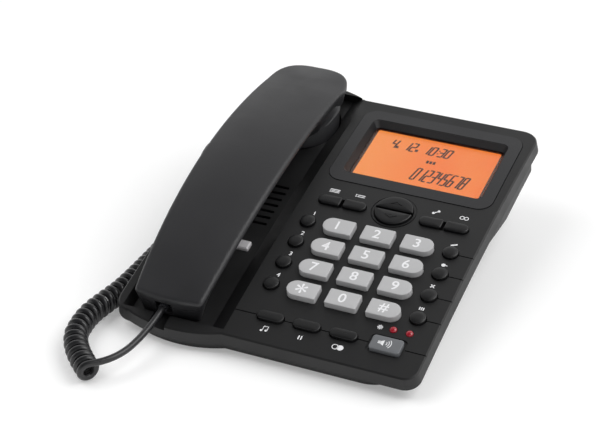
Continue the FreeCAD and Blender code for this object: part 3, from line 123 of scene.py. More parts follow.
def per_metre(size_mm):
    """A noise's scale for grains of a size in millimetres."""
    return 1000.0 / size_mm


print("mid grey in linear light:", round(linear("#808080")[0], 3))

# %% [markdown]
# ## Floor, backdrop and light
# The photograph is a studio shot on white. The floor is a plain pale sheet that keeps the shadow.
# It looks white to the camera, and in reflections, because it adds a little light of its own to
# those rays alone: the telephone gets no more light from it. The studio is bright along the paper
# sweep at the back and dim over the front left, so the surroundings fade from one to the other.
# Black plastic shows this fade: it is darkest where it mirrors the dim side, and paler where it
# is seen at a slant. One wide soft lamp hangs on each side. The left one lights without showing in
# reflections, as if it hung behind a screen, because the shells mirror no lamp there.

# %% Stage
FLOOR_REACH = 4.0
FLOOR_GAP = 0.0001
floor_mesh = bmesh.new()
bmesh.ops.create_grid(floor_mesh, x_segments=1, y_segments=1, size=FLOOR_REACH)
floor_data = bpy.data.meshes.new("floor")
floor_mesh.to_mesh(floor_data)
floor_mesh.free()
floor = bpy.data.objects.new("floor", floor_data)
floor.location.z = -FLOOR_GAP
collection.objects.link(floor)

FLOOR_GLOW = 0.26
paper, paper_output = new_material("white_paper_sweep")
rays = add_node(paper, "ShaderNodeLightPath")
seen = add_node(paper, "ShaderNodeMath", {0: rays.outputs["Is Camera Ray"], 1: rays.outputs["Is Glossy Ray"]},
                operation="MAXIMUM")
seen = add_node(paper, "ShaderNodeMath", {0: seen.outputs[0], 1: rays.outputs["Is Transmission Ray"]},
                operation="MAXIMUM")
faint = add_node(paper, "ShaderNodeMath", {0: seen.outputs[0], 1: FLOOR_GLOW}, operation="MULTIPLY")
glow = add_node(paper, "ShaderNodeEmission", {"Color": linear("#ffffff"), "Strength": faint.outputs[0]})
sheet = add_node(paper, "ShaderNodeBsdfDiffuse", {"Color": linear("#e2e2e2")})
both = add_node(paper, "ShaderNodeAddShader", {0: glow.outputs[0], 1: sheet.outputs[0]})
paper.node_tree.links.new(both.outputs[0], paper_output.inputs["Surface"])
floor_data.materials.append(paper)

DIM_SIDE = Vector((-0.30, -0.40, 0.866)).normalized()
world = bpy.data.worlds.new("studio")
bpy.context.scene.world = world
world.use_nodes = True
world.node_tree.nodes.clear()
rays = add_node(world, "ShaderNodeLightPath")
seen = add_node(world, "ShaderNodeMath",
                {0: rays.outputs["Is Camera Ray"], 1: rays.outputs["Is Transmission Ray"]},
                operation="MAXIMUM")
heading = add_node(world, "ShaderNodeTexCoord").outputs["Generated"]
towards = add_node(world, "ShaderNodeVectorMath", {0: heading, 1: DIM_SIDE}, operation="DOT_PRODUCT")
fade = add_node(world, "ShaderNodeMapRange",
                {"Value": towards.outputs["Value"], "From Min": 0.28, "From Max": 0.85,
                 "To Min": 1.0, "To Max": 0.1})
strength = add_node(world, "ShaderNodeMath", {0: seen.outputs[0], 1: fade.outputs[0]}, operation="MAXIMUM")
sky = add_node(world, "ShaderNodeBackground", {"Color": linear("#ffffff"), "Strength": strength.outputs[0]})
add_node(world, "ShaderNodeOutputWorld", {"Surface": sky.outputs[0]})


def softbox(name, place, aim, size, power):
    """A square area lamp at a place in metres that looks at a point."""
    data = bpy.data.lights.new(name, "AREA")
    data.shape = "SQUARE"
    data.size = size
    data.energy = power
    lamp = bpy.data.objects.new(name, data)
    lamp.location = place
    lamp.rotation_mode = "QUATERNION"
    lamp.rotation_quaternion = (Vector(aim) - Vector(place)).to_track_quat("-Z", "Y")
    collection.objects.link(lamp)
    return lamp


TABLE_MIDDLE = (0.0, 0.0, 0.0)
LAMP_SIZE = 1.0
LAMP_POWER = 9.0
left_softbox = softbox("left_softbox", (-0.75, -0.35, 1.2), TABLE_MIDDLE, LAMP_SIZE, LAMP_POWER)
left_softbox.visible_glossy = False
right_softbox = softbox("right_softbox", (0.80, 0.20, 1.2), TABLE_MIDDLE, LAMP_SIZE, LAMP_POWER)
bpy.context.scene.view_settings.view_transform = "Standard"
print("lamps:", left_softbox.name, right_softbox.name)

# %% [markdown]
# ## The cord's jacket
# A curly cord is jacketed in glossy black PVC. It is smooth, so its look comes from a low
# roughness, with a faint waviness along the curls where the jacket was pressed while it was warm.

# %% Cord material
cord_pvc, output = new_material("glossy_black_pvc")
place = add_node(cord_pvc, "ShaderNodeTexCoord")
waves = add_node(cord_pvc, "ShaderNodeTexNoise",
                 {"Vector": place.outputs["Object"], "Scale": per_metre(3.0), "Detail": 2.0})
rough = add_node(cord_pvc, "ShaderNodeMapRange",
                 {"Value": waves.outputs["Fac"], "To Min": 0.22, "To Max": 0.36})
relief = add_node(cord_pvc, "ShaderNodeBump",
                  {"Height": waves.outputs["Fac"], "Distance": 0.00006, "Strength": 0.6})
jacket = add_node(cord_pvc, "ShaderNodeBsdfPrincipled",
                  {"Base Color": linear("#1b1b1d"), "Roughness": rough.outputs[0],
                   "Normal": relief.outputs[0], "IOR": 1.53})
cord_pvc.node_tree.links.new(jacket.outputs[0], output.inputs["Surface"])
print("cord material:", cord_pvc.name)

# %% [markdown]
# ## The cord
# The cord leaves the handset's front end through a plug, bends down to the table, and is curled
# from there. The curls turn round an axis that runs back along the telephone's left side, and the
# straight end goes up to a socket in that side. The axis is a smooth spline through a few points
# on the table. The curls follow it: their points come from the spline itself, read as Blender
# draws it, and stand round it on a circle.

# %% Cord route
CORD_DIAMETER = 3.5
CURL_RADIUS = 4.5
CURLS = 28
POINTS_PER_CURL = 12

handset_route = [(-55.2, -95.36, 16.54), (-55.2, -112.04, 13.24), (-59.57, -134.86, 11.01),
                 (-67.39, -141.87, 11.0)]
curl_axis = [(-70.0, -144.2, 6.5), (-90.0, -128.2, 6.5), (-95.0, -104.2, 6.5), (-92.5, -88.2, 6.5),
             (-88.6, -69.2, 6.5), (-88.5, -15.2, 6.5)]
base_route = [(-90.97, -12.72, 11.0), (-97.32, -6.35, 11.0), (-100.0, 3.45, 10.76), (-100.5, 16.95, 11.76),
              (-99.2, 30.45, 14.26), (-103.1, 42.65, 16.36), (-101.9, 51.25, 24.66), (-94.5, 54.45, 31.36),
              (-84.0, 54.45, 31.36)]


def spline_curve(name, points_mm, thickness_mm=0.0):
    """A smooth curve with these points as its control points; a thickness makes it a tube."""
    data = bpy.data.curves.new(name, "CURVE")
    data.dimensions = "3D"
    data.resolution_u = 12
    data.bevel_depth = thickness_mm / 2000
    data.bevel_resolution = 6
    data.use_fill_caps = True
    spline = data.splines.new("NURBS")
    spline.points.add(len(points_mm) - 1)
    for control, point in zip(spline.points, points_mm):
        control.co = [value / 1000 for value in point] + [1.0]
    spline.order_u = 3
    spline.use_endpoint_u = True
    return bpy.data.objects.new(name, data)


def drawn_line(curve):
    """The points of a thin curve as Blender draws it, in metres."""
    mesh = bpy.data.meshes.new_from_object(curve)
    points = [vertex.co.copy() for vertex in mesh.vertices]
    bpy.data.meshes.remove(mesh)
    return points


def length_of(points):
    """The length of a drawn line, in metres."""
    return sum((after - before).length for before, after in zip(points, points[1:]))


def point_along(points, distance):
    """The point and the heading at a distance along a drawn line."""
    for before, after in zip(points, points[1:]):
        step = (after - before).length
        if distance <= step or after is points[-1]:
            return before.lerp(after, distance / step), (after - before).normalized()
        distance -= step


print("leads' control points:", len(handset_route), len(base_route))

# %% Curls
axis_curve = spline_curve("curl_axis", curl_axis)
axis_line = drawn_line(axis_curve)
axis_length = length_of(axis_line) * 1000
slope_run = CURL_RADIUS * math.pi / 2
pitch = (axis_length - slope_run) / (CURLS - 0.25)
steady_turn = 2 * math.pi * CURLS - math.pi
# a smooth spline runs inside its control points, so these stand a little further out
control_radius = CURL_RADIUS / math.cos(math.pi / POINTS_PER_CURL)
curl_points = []
for index in range(CURLS * POINTS_PER_CURL + 1):
    turn = 2 * math.pi * index / POINTS_PER_CURL
    late = max(turn - steady_turn, 0.0)
    slow = pitch / (2 * math.pi)
    run = turn * slow + (CURL_RADIUS - slow) * late * late / (2 * math.pi)
    centre, heading = point_along(axis_line, run / 1000)
    aside = heading.cross(Vector((0, 0, 1))).normalized()
    offset = Vector((0, 0, control_radius * math.cos(turn))) - aside * (control_radius * math.sin(turn))
    curl_points.append(tuple(centre * 1000 + offset))
coil = spline_curve("curly_cord_tube", [handset_route[-1]] + curl_points + base_route, CORD_DIAMETER)
collection.objects.link(coil)
coil.data.materials.append(cord_pvc)
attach(coil, "base")
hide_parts("curly_cord", "base_lead")

lead_line = drawn_line(spline_curve("lead_line", handset_route))
lead_curve = spline_curve("lead_tube", handset_route, CORD_DIAMETER)
lead = bpy.data.objects.new("handset_cord_lead", bpy.data.meshes.new_from_object(lead_curve))
lead.data.shade_smooth()
collection.objects.link(lead)
lead.data.materials.clear()
lead.data.materials.append(cord_pvc)
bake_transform(lead)
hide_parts("handset_lead")

bare_coil = spline_curve("coil_line", [handset_route[-1]] + curl_points + base_route)
coil_length = length_of(drawn_line(bare_coil))
print("curl pitch in mm:", round(pitch, 2))
print("cord and lead in m:", round(coil_length, 3), round(length_of(lead_line), 4))

# %% [markdown]
# ## Where things sit
# The deck is tilted by 13 degrees and slightly arched. Places on it are given in millimetres from
# the middle of the keypad: u to the right, v up the deck, and a height over its skin. Pieces are
# modelled in millimetres and brought to metres when they are placed.

# %% Frames
TO_METRES = Matrix.Diagonal((0.001, 0.001, 0.001, 1.0))
TILT_DEGREES = 13.0
TILT = Matrix.Rotation(math.radians(TILT_DEGREES), 4, "X")
KEYPAD_MIDDLE = Vector((29.5, -39.2, 28.2))
ARCH_RADIUS = 1430.0


def on_deck(u, v, height=0.0):
    """A place on the deck's skin that keeps the keypad's tilt."""
    drop = v * v / (2 * ARCH_RADIUS)
    return Matrix.Translation((KEYPAD_MIDDLE + TILT.to_3x3() @ Vector((u, v, height - drop))) / 1000) @ TILT


def on_arch(u, v, height=0.0):
    """A place on the deck's skin that tilts with the arch."""
    turn = v / ARCH_RADIUS
    reach = ARCH_RADIUS + height
    spot = Vector((u, reach * math.sin(turn), reach * math.cos(turn) - ARCH_RADIUS))
    skin = Matrix.Translation((KEYPAD_MIDDLE + TILT.to_3x3() @ spot) / 1000)
    return skin @ TILT @ Matrix.Rotation(-turn, 4, "X")


def smooth_faces(mesh, angle=34.0):
    """Shades a mesh smooth, apart from edges sharper than an angle."""
    mesh.shade_smooth()
    mesh.set_sharp_from_angle(angle=math.radians(angle))


def placed(name, shape, place, material, body):
    """Ends a bmesh in millimetres as a piece that rides on a body."""
    bmesh.ops.transform(shape, matrix=place @ TO_METRES, verts=shape.verts)
    mesh = bpy.data.meshes.new(name)
    shape.to_mesh(mesh)
    shape.free()
    smooth_faces(mesh)
    mesh.materials.append(material)
    piece = bpy.data.objects.new(name, mesh)
    collection.objects.link(piece)
    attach(piece, body)
    return piece


print("keypad's middle in m:", [round(value, 4) for value in on_deck(0, 0).translation])

# %% [markdown]
# ## Moulded plastic
# The housings and the handset are ABS from a spark-eroded mould, which leaves a fine, even grain
# that scatters the light. Its grain is about half a millimetre here, coarser than the real one,
# because a finer one would not show. Years of hands polish such plastic unevenly, so the roughness
# also drifts over a few centimetres, and the colour very slightly with it.

# %% Plastic


def moulded_plastic(name, colour, darker, roughness, grain_mm, grain_depth_mm, polish=0.06):
    """Charcoal, grey or black plastic with a moulded grain and uneven polish."""
    material, out = new_material(name)
    spot = add_node(material, "ShaderNodeTexCoord").outputs["Object"]
    grain = add_node(material, "ShaderNodeTexNoise",
                     {"Vector": spot, "Scale": per_metre(grain_mm), "Detail": 1.5, "Roughness": 0.6})
    drift = add_node(material, "ShaderNodeTexNoise",
                     {"Vector": spot, "Scale": per_metre(28.0), "Detail": 3.0, "Roughness": 0.55})
    tint = add_node(material, "ShaderNodeMix",
                    {0: drift.outputs["Fac"], 6: linear(darker), 7: linear(colour)}, data_type="RGBA")
    worn = add_node(material, "ShaderNodeMapRange",
                    {"Value": drift.outputs["Fac"], "From Min": 0.3, "From Max": 0.7,
                     "To Min": roughness - polish, "To Max": roughness + polish})
    bumps = add_node(material, "ShaderNodeBump",
                     {"Height": grain.outputs["Fac"], "Distance": grain_depth_mm / 1000, "Strength": 0.8})
    surface = add_node(material, "ShaderNodeBsdfPrincipled",
                       {"Roughness": worn.outputs[0], "Normal": bumps.outputs[0], "IOR": 1.5})
    material.node_tree.links.new(tint.outputs[2], surface.inputs["Base Color"])
    material.node_tree.links.new(surface.outputs[0], out.inputs["Surface"])
    return material


housing_abs = moulded_plastic("charcoal_abs_housing", "#101011", "#0d0d0e", 0.50, 0.55, 0.030)
handset_abs = moulded_plastic("charcoal_abs_handset", "#252527", "#212123", 0.46, 0.55, 0.028)
bezel_abs = moulded_plastic("charcoal_abs_bezel", "#202022", "#1c1c1e", 0.42, 0.50, 0.015)
light_cap = moulded_plastic("light_grey_abs_caps", "#b6b6b7", "#afafb0", 0.42, 0.40, 0.010)
dark_cap = moulded_plastic("charcoal_abs_caps", "#0b0b0c", "#08080a", 0.40, 0.40, 0.010)
grey_cap = moulded_plastic("mid_grey_abs_cap", "#696b6e", "#636568", 0.40, 0.40, 0.010)
# the sockets are nylon, a little glossier, and the feet are silicone, with hardly any gloss
socket_black = moulded_plastic("black_nylon_sockets", "#1d1d1f", "#18181a", 0.35, 0.60, 0.010)
foot_rubber = moulded_plastic("black_silicone_feet", "#262627", "#202021", 0.75, 0.80, 0.040)
print("materials so far:", len(bpy.data.materials))

# %% [markdown]
# ## Finishing a CAD solid
# A CAD solid arrives as loose triangles with flat faces. Its mesh is left as it is, and modifiers
# do the rest: Weld joins the triangles, a small node group shades the gentle edges smooth and keeps
# the real corners sharp, and Weighted Normal lets the large faces rule the shading, so that the
# handset's back and the arched deck look moulded and not faceted.

# %% Finish for CAD solids
smooth_by_angle = bpy.data.node_groups.new("smooth_by_angle", "GeometryNodeTree")
smooth_by_angle.interface.new_socket("Geometry", in_out="INPUT", socket_type="NodeSocketGeometry")
smooth_by_angle.interface.new_socket("Geometry", in_out="OUTPUT", socket_type="NodeSocketGeometry")
group_in = smooth_by_angle.nodes.new("NodeGroupInput")
group_out = smooth_by_angle.nodes.new("NodeGroupOutput")
all_smooth = smooth_by_angle.nodes.new("GeometryNodeSetShadeSmooth")
keep_sharp = smooth_by_angle.nodes.new("GeometryNodeSetShadeSmooth")
keep_sharp.domain = "EDGE"
keep_sharp.inputs["Shade Smooth"].default_value = False
edge_angle = smooth_by_angle.nodes.new("GeometryNodeInputMeshEdgeAngle")
is_sharp = smooth_by_angle.nodes.new("FunctionNodeCompare")
is_sharp.inputs["B"].default_value = math.radians(30.0)
join = smooth_by_angle.links.new
join(group_in.outputs[0], all_smooth.inputs["Geometry"])
join(all_smooth.outputs[0], keep_sharp.inputs["Geometry"])
join(edge_angle.outputs["Unsigned Angle"], is_sharp.inputs["A"])
join(is_sharp.outputs[0], keep_sharp.inputs["Selection"])
join(keep_sharp.outputs[0], group_out.inputs[0])


def shade_solid(piece):
    """Adds the modifiers that shade a solid's gentle edges smooth."""
    piece.modifiers.new("weld", "WELD").merge_threshold = 0.000002
    piece.modifiers.new("shade", "NODES").node_group = smooth_by_angle
    piece.modifiers.new("weighted", "WEIGHTED_NORMAL").keep_sharp = True


def finish_solid(name, material):
    """Gives a CAD solid its material and its smooth shading."""
    node = nodes[name]
    node.data.materials.clear()
    node.data.materials.append(material)
    shade_solid(node)


for name in ("upper_housing", "lower_housing", "desk_stand"):
    finish_solid(name, housing_abs)
finish_solid("display_bezel", bezel_abs)
for name in ("base_handset_jack", "line_jack", "handset_jack", "hook_switch"):
    finish_solid(name, socket_black)
for name in ("front_feet", "rear_feet"):
    finish_solid(name, foot_rubber)
print("sharp from, in degrees:", round(math.degrees(is_sharp.inputs["B"].default_value)))

# %% [markdown]
# ## The handset's undercut sides
# The handset's solids have upright sides. On the real one they lean inwards under the rim, which
# makes the grip slim where the fingers hold it, and they draw in above the round ear cup. The far
# end is squarer too. Each shell is copied, its triangles are merged and sliced across every few
# millimetres, and one rule then moves every point of both, so the seam between them stays closed.

# %% Undercut handset
HANDSET_ARCH = on_arch(-82.7, 44.5)
RIM_HEIGHT = 19.4
RIM_LIP = 2.6
BACK_RADIUS = 330.0
SPINE = 7.0
# each pair of places is where a change begins and where it is complete
GRIP_STARTS = (-116.0, -60.0)
GRIP_ENDS = (32.0, 50.0)
SLIMMER_PER_MM = 0.06
SLIMMEST = 0.72
EAR_CUP_Y = 63.0
EAR_CUP_CORE = 19.0
WAIST_STARTS = (32.0, 46.0)
WAIST_ENDS = (62.0, 80.0)
WAIST_LEVEL = 1.0
WAIST_REACH = 9.0
WAIST_RUN_IN = 3.0
WAIST_RING = 6.0
WAIST_DRAW = 0.6
ROUND_END_Y = 78.4
SQUARENESS = 2.8
SQUARE_RISES = (0.0, 2.5)
SLICE_STEP = 4
SLICE_LEVELS = (-8, -3.5, 1, 5.5, 10)


def ease(value, start, end):
    """Goes smoothly from 0 to 1 between two values."""
    share = min(max((value - start) / (end - start), 0.0), 1.0)
    return share * share * (3 - 2 * share)


def undercut(spot):
    """Where a point of the handset goes, in the handset's own millimetres."""
    rim = RIM_HEIGHT - spot.y * spot.y / (2 * BACK_RADIUS)
    below = max(rim - RIM_LIP - spot.z, 0.0)
    grip = ease(spot.y, *GRIP_STARTS) * (1.0 - ease(spot.y, *GRIP_ENDS))
    outside = abs(spot.x) - SPINE
    if outside > 0:
        slimmer = min(SLIMMER_PER_MM * below, SLIMMEST) * grip
        spot.x = math.copysign(SPINE + outside * (1.0 - slimmer), spot.x)
    from_cup = Vector((spot.x, spot.y - EAR_CUP_Y))
    if spot.y > WAIST_STARTS[0] and from_cup.length > EAR_CUP_CORE:
        waist = max(0.0, 1.0 - abs(spot.z - WAIST_LEVEL) / WAIST_REACH) * min(below / WAIST_RUN_IN, 1.0)
        waist *= ease(spot.y, *WAIST_STARTS)
        waist *= 1.0 - ease(spot.y, *WAIST_ENDS)
        drawn = from_cup.normalized() * min(from_cup.length - EAR_CUP_CORE, WAIST_RING) * WAIST_DRAW * waist
        spot.x -= drawn.x
        spot.y -= drawn.y
    from_end = Vector((spot.x, spot.y - ROUND_END_Y))
    if from_end.y > 0:
        flat = from_end.normalized()
        squarer = (abs(flat.x) ** SQUARENESS + abs(flat.y) ** SQUARENESS) ** (-1 / SQUARENESS) - 1.0
        spot.x += from_end.x * squarer * ease(spot.z, *SQUARE_RISES)
        spot.y += from_end.y * squarer * ease(spot.z, *SQUARE_RISES)


slices = [((0, y, 0), (0, 1, 0)) for y in range(-96, 102, SLICE_STEP)]
slices += [((0, 0, level), (0, 0, 1)) for level in SLICE_LEVELS]
SHELL_COPIES = {"handset_back_cover": "handset_top_shell", "handset_grip_shell": "handset_bottom_shell"}
for name, node_name in SHELL_COPIES.items():
    shell = bmesh.new()
    shell.from_mesh(nodes[node_name].data)
    bmesh.ops.transform(shell, matrix=(HANDSET_ARCH @ TO_METRES).inverted(), verts=shell.verts)
    bmesh.ops.remove_doubles(shell, verts=shell.verts, dist=0.002)
    for point, normal in slices:
        bmesh.ops.bisect_plane(shell, geom=shell.verts[:] + shell.edges[:] + shell.faces[:], dist=0.001,
                               plane_co=point, plane_no=normal)
    for vertex in shell.verts:
        undercut(vertex.co)
    bmesh.ops.triangulate(shell, faces=shell.faces)
    cover = placed(name, shell, HANDSET_ARCH, handset_abs, "handset")
    shade_solid(cover)
    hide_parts(node_name)
    print(name, len(cover.data.polygons), "faces")

# %% [markdown]
# ## Key caps
# The dial keys are light grey caps with flat tops and softly rounded rims, and those at the ends of
# a row have one round end. A cap starts from a cube: its upright edges are bevelled to the corner
# radius, then its top rim gets a small round bevel. Three insets let the top swell by a fraction of
# a millimetre, which gives each key its own soft gleam. Under the deck each cap has the flange
# that holds it in and the stem that presses the membrane, as the solid has.

# %% Plates
FLANGE_TOP = 2.3
FLANGE_THICK = 1.1
FLANGE_REACH = 0.6
STEM_HALF = 1.4
STEM_END = 5.4
ARC_STEPS = 10
TIGHT_ARC_STEPS = 4


def block(shape, low, high):
    """Adds a box between two corners to a bmesh and gives back its vertices."""
    made = bmesh.ops.create_cube(shape, size=1.0)["verts"]
    bmesh.ops.scale(shape, vec=[top - bottom for bottom, top in zip(low, high)], verts=made)
    bmesh.ops.translate(shape, vec=[(top + bottom) / 2 for bottom, top in zip(low, high)], verts=made)
    return made


def plate(shape, size, corners, low, high, middle=0.0):
    """Adds an upright plate with a corner radius on its left and another on its right."""
    width, depth = size
    block(shape, (-width / 2, middle - depth / 2, low), (width / 2, middle + depth / 2, high))
    for side, radius in zip((-1, 1), corners):
        edges = [edge for edge in shape.edges
                 if all(abs(vert.co.x * side - width / 2) < 0.001 for vert in edge.verts)
                 and sorted(round(vert.co.z - low, 3) for vert in edge.verts) == [0.0, round(high - low, 3)]]
        bmesh.ops.bevel(shape, geom=edges, offset=min(radius, depth / 2 - 0.01),
                        segments=ARC_STEPS if radius > 2 else TIGHT_ARC_STEPS, profile=0.5,
                        affect="EDGES", material=-1)


def disc(shape, radius, low, high, segments=48):
    """Adds an upright round plate."""
    bmesh.ops.create_cone(shape, cap_ends=True, segments=segments, radius1=radius, radius2=radius,
                          depth=high - low, matrix=Matrix.Translation((0, 0, (low + high) / 2)))


def half_disc(shape, radius, side, split, low, high):
    """Adds one half of an upright round plate that is cut along a gap."""
    half = bmesh.new()
    disc(half, radius, low, high, 72)
    geometry = list(half.verts) + list(half.edges) + list(half.faces)
    cut = bmesh.ops.bisect_plane(half, geom=geometry, plane_co=(0, split / 2 * side, 0),
                                 plane_no=(0, side, 0), clear_inner=True)
    rim = [item for item in cut["geom_cut"] if isinstance(item, bmesh.types.BMEdge)]
    bmesh.ops.edgeloop_fill(half, edges=rim)
    bmesh.ops.recalc_face_normals(half, faces=half.faces)
    mesh = bpy.data.meshes.new("half")
    half.to_mesh(mesh)
    half.free()
    shape.from_mesh(mesh)
    bpy.data.meshes.remove(mesh)


print("flange's lower side in mm:", round(-FLANGE_TOP - FLANGE_THICK, 1))

# %% Caps
CAP_SWELL = 0.16
DOME_SWELL = 0.34
# how much each inset shrinks the top, and its share of the swell
SWELL_STEPS = ((0.86, 0.45), (0.76, 0.35), (0.6, 0.2))


def soften_top(shape, height, rim, swell):
    """Rounds the rim of the top at a height, and swells the top in three steps towards its middle."""
    shape.normal_update()
    edges = [edge for edge in shape.edges if edge.calc_face_angle(0.0) > 0.5
             and all(abs(vert.co.z - height) < 0.0001 for vert in edge.verts)]
    bmesh.ops.bevel(shape, geom=edges, offset=rim, segments=4, profile=0.5, affect="EDGES", material=-1)
    shape.normal_update()
    tops = [face for face in shape.faces
            if face.normal.z > 0.999 and abs(face.calc_center_median().z - height) < 0.0001]
    for shrink, rise in SWELL_STEPS:
        bmesh.ops.inset_region(shape, faces=tops, thickness=0.0, depth=0.0)
        for top in tops:
            middle = Matrix.Translation(top.calc_center_median())
            bmesh.ops.scale(shape, verts=top.verts, vec=(shrink, shrink, 1.0), space=middle.inverted())
            bmesh.ops.translate(shape, verts=top.verts, vec=(0, 0, swell * rise))


def key_levels(v, depth, middle=0.0):
    """Heights of a cap's lower end, its flange's lower side and its stem's lower end."""
    drop = v * v / (2 * ARCH_RADIUS)
    far = abs(v + middle) + depth / 2
    foot = -FLANGE_TOP - far * far / (2 * ARCH_RADIUS) + drop
    return foot, foot - FLANGE_THICK, drop - STEM_END


def key_cap(name, place, size, corners, proud, rim, material):
    """A key with straight sides: cap, flange and stem."""
    shape = bmesh.new()
    foot, flange, end = key_levels(place[1], size[1])
    plate(shape, size, corners, foot, proud)
    soften_top(shape, proud, rim, CAP_SWELL)
    wider = (size[0] + 2 * FLANGE_REACH, size[1] + 2 * FLANGE_REACH)
    plate(shape, wider, [corner + FLANGE_REACH for corner in corners], flange, foot)
    block(shape, (-STEM_HALF, -STEM_HALF, end), (STEM_HALF, STEM_HALF, flange))
    cap = placed(f"{name}_cap", shape, on_deck(*place), material, f"{name}_body")
    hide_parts(name)
    return cap


def round_cap(name, place, diameter, proud, rim, material):
    """A round key with a domed top."""
    shape = bmesh.new()
    foot, flange, end = key_levels(place[1], diameter)
    disc(shape, diameter / 2, foot, proud)
    soften_top(shape, proud, rim, DOME_SWELL)
    disc(shape, diameter / 2 + FLANGE_REACH, flange, foot)
    block(shape, (-STEM_HALF, -STEM_HALF, end), (STEM_HALF, STEM_HALF, flange))
    cap = placed(f"{name}_cap", shape, on_deck(*place), material, f"{name}_body")
    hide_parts(name)
    return cap


print("levels under a key at v = 8 mm:", [round(level, 2) for level in key_levels(8.0, 10.3)])

# %% Dial keys
DIAL_ROWS = [("1", "2", "3"), ("4", "5", "6"), ("7", "8", "9"), ("star", "0", "hash")]
DIAL_PITCH = (22.0, 16.0)
DIAL_SIZE = (16.8, 10.3)
DIAL_CORNER = 0.7
DIAL_PROUD = 3.2
DIAL_RIM = 0.45
dial_places = {}
for row, names in enumerate(DIAL_ROWS):
    for column, name in enumerate(names):
        dial_places[name] = (DIAL_PITCH[0] * (column - 1), DIAL_PITCH[1] * (1.5 - row))
        corners = [DIAL_SIZE[1] / 2 if column == end else DIAL_CORNER for end in (0, 2)]
        key_cap(f"key_{name}", dial_places[name], DIAL_SIZE, corners, DIAL_PROUD, DIAL_RIM, light_cap)
print("dial keys:", len(dial_places))

# %% Dark keys
BUTTON_PROUD = 1.7
BUTTON_RIM = 0.6
ROUND_KEY = 8.2
SIDE_COLUMNS = {"memory": -39.9, "function": 39.2}
SIDE_ROWS = [DIAL_PITCH[1] * (1.5 - row) + 1 for row in range(4)]
for column, u in SIDE_COLUMNS.items():
    for row, v in enumerate(SIDE_ROWS, start=1):
        round_cap(f"{column}_key_{row}", (u, v), ROUND_KEY, BUTTON_PROUD, BUTTON_RIM, dark_cap)
WIDE_SIZE = (12.6, 6.2)
WIDE_CORNER = 1.0
WIDE_ROW = 43.6
WIDE_STEP = 7.1
for side, middle in (("left", -27.8), ("right", 29.0)):
    for index, sign in ((1, -1), (2, 1)):
        corners = [WIDE_SIZE[1] / 2 if sign == end else WIDE_CORNER for end in (-1, 1)]
        key_cap(f"wide_key_{side}_{index}", (middle + WIDE_STEP * sign, WIDE_ROW), WIDE_SIZE, corners,
                BUTTON_PROUD, BUTTON_RIM, dark_cap)
OVAL_SIZE = (14.4, 5.8)
OVAL_FIRST = -31.0
OVAL_STEP = 19.6
FRONT_ROW = -44.2
SPEAKER_SIZE = (16.0, 9.4)
SPEAKER_CORNER = 1.6
for index in range(3):
    key_cap(f"oval_key_{index + 1}", (OVAL_FIRST + OVAL_STEP * index, FRONT_ROW), OVAL_SIZE,
            [OVAL_SIZE[1] / 2] * 2, BUTTON_PROUD, BUTTON_RIM, dark_cap)
key_cap("speaker_key", (30.6, FRONT_ROW), SPEAKER_SIZE, [SPEAKER_CORNER] * 2, BUTTON_PROUD, BUTTON_RIM,
        grey_cap)

# %% [markdown]
# ## The round rocker
# Between the wide keys sits a disc cut in two, whose halves step up and down through a menu. Each
# half is a round plate cut by a plane along the gap. A raised arrow of two slanted bars marks it.

# %% Rocker
ROCKER_PLACE = (0.4, 46.0)
ROCKER_RADIUS = 10.3
ROCKER_SPLIT = 1.4
HALF_DEPTH = 9.6
HALF_MIDDLE = 5.5
ROCKER_SWELL = 0.2
ARROW_BAR = (3.8, 0.64, 0.4)
ARROW_SLANT = 30
ARROW_PLACE = (1.55, 5.0)
for name, side in (("up", 1), ("down", -1)):
    shape = bmesh.new()
    middle = HALF_MIDDLE * side
    foot, flange, end = key_levels(ROCKER_PLACE[1], HALF_DEPTH, middle)
    half_disc(shape, ROCKER_RADIUS, side, ROCKER_SPLIT, foot, BUTTON_PROUD)
    soften_top(shape, BUTTON_PROUD, BUTTON_RIM, ROCKER_SWELL)
    half_disc(shape, ROCKER_RADIUS + FLANGE_REACH, side, ROCKER_SPLIT, flange, foot)
    block(shape, (-STEM_HALF, middle - STEM_HALF, end), (STEM_HALF, middle + STEM_HALF, flange))
    for slant in (-1, 1):
        long, wide, tall = ARROW_BAR
        arm = block(shape, (-long / 2, -wide / 2, BUTTON_PROUD), (long / 2, wide / 2, BUTTON_PROUD + tall))
        turn = Matrix.Rotation(math.radians(-ARROW_SLANT * slant * side), 3, "Z")
        bmesh.ops.rotate(shape, verts=arm, cent=(0, 0, 0), matrix=turn)
        bmesh.ops.translate(shape, verts=arm, vec=(ARROW_PLACE[0] * slant, ARROW_PLACE[1] * side, 0))
    half = placed(f"rocker_{name}_cap", shape, on_deck(*ROCKER_PLACE), dark_cap, f"rocker_{name}_body")
    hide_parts(f"rocker_{name}")
    print(half.name, "ends at", round(end, 2), "mm")

# %% [markdown]
# ## Printed legends
# The numbers are white ink, pad-printed on the caps, and they ride on their keys. Ink has a little
# height and a dull gloss, and it covers unevenly, so a fine noise mixes two whites. The numbers are
# text made into meshes a twentieth of a millimetre thick. The marks on the deck are plain signs
# built from bars, discs and rings.

# %% Ink


def speckled(material, grain_mm, detail, darker, paler):
    """A colour that goes between two others with a fine noise."""
    spot = add_node(material, "ShaderNodeTexCoord").outputs["Object"]
    speckle = add_node(material, "ShaderNodeTexNoise",
                       {"Vector": spot, "Scale": per_metre(grain_mm), "Detail": detail})
    tint = add_node(material, "ShaderNodeMix",
                    {0: speckle.outputs["Fac"], 6: linear(darker), 7: linear(paler)}, data_type="RGBA")
    return tint.outputs[2]


white_ink, output = new_material("white_printing_ink")
whites = speckled(white_ink, 0.5, 2.0, "#dadadc", "#f2f2f4")
ink = add_node(white_ink, "ShaderNodeBsdfPrincipled", {"Base Color": whites, "Roughness": 0.45})
white_ink.node_tree.links.new(ink.outputs[0], output.inputs["Surface"])
print("ink material:", white_ink.name)

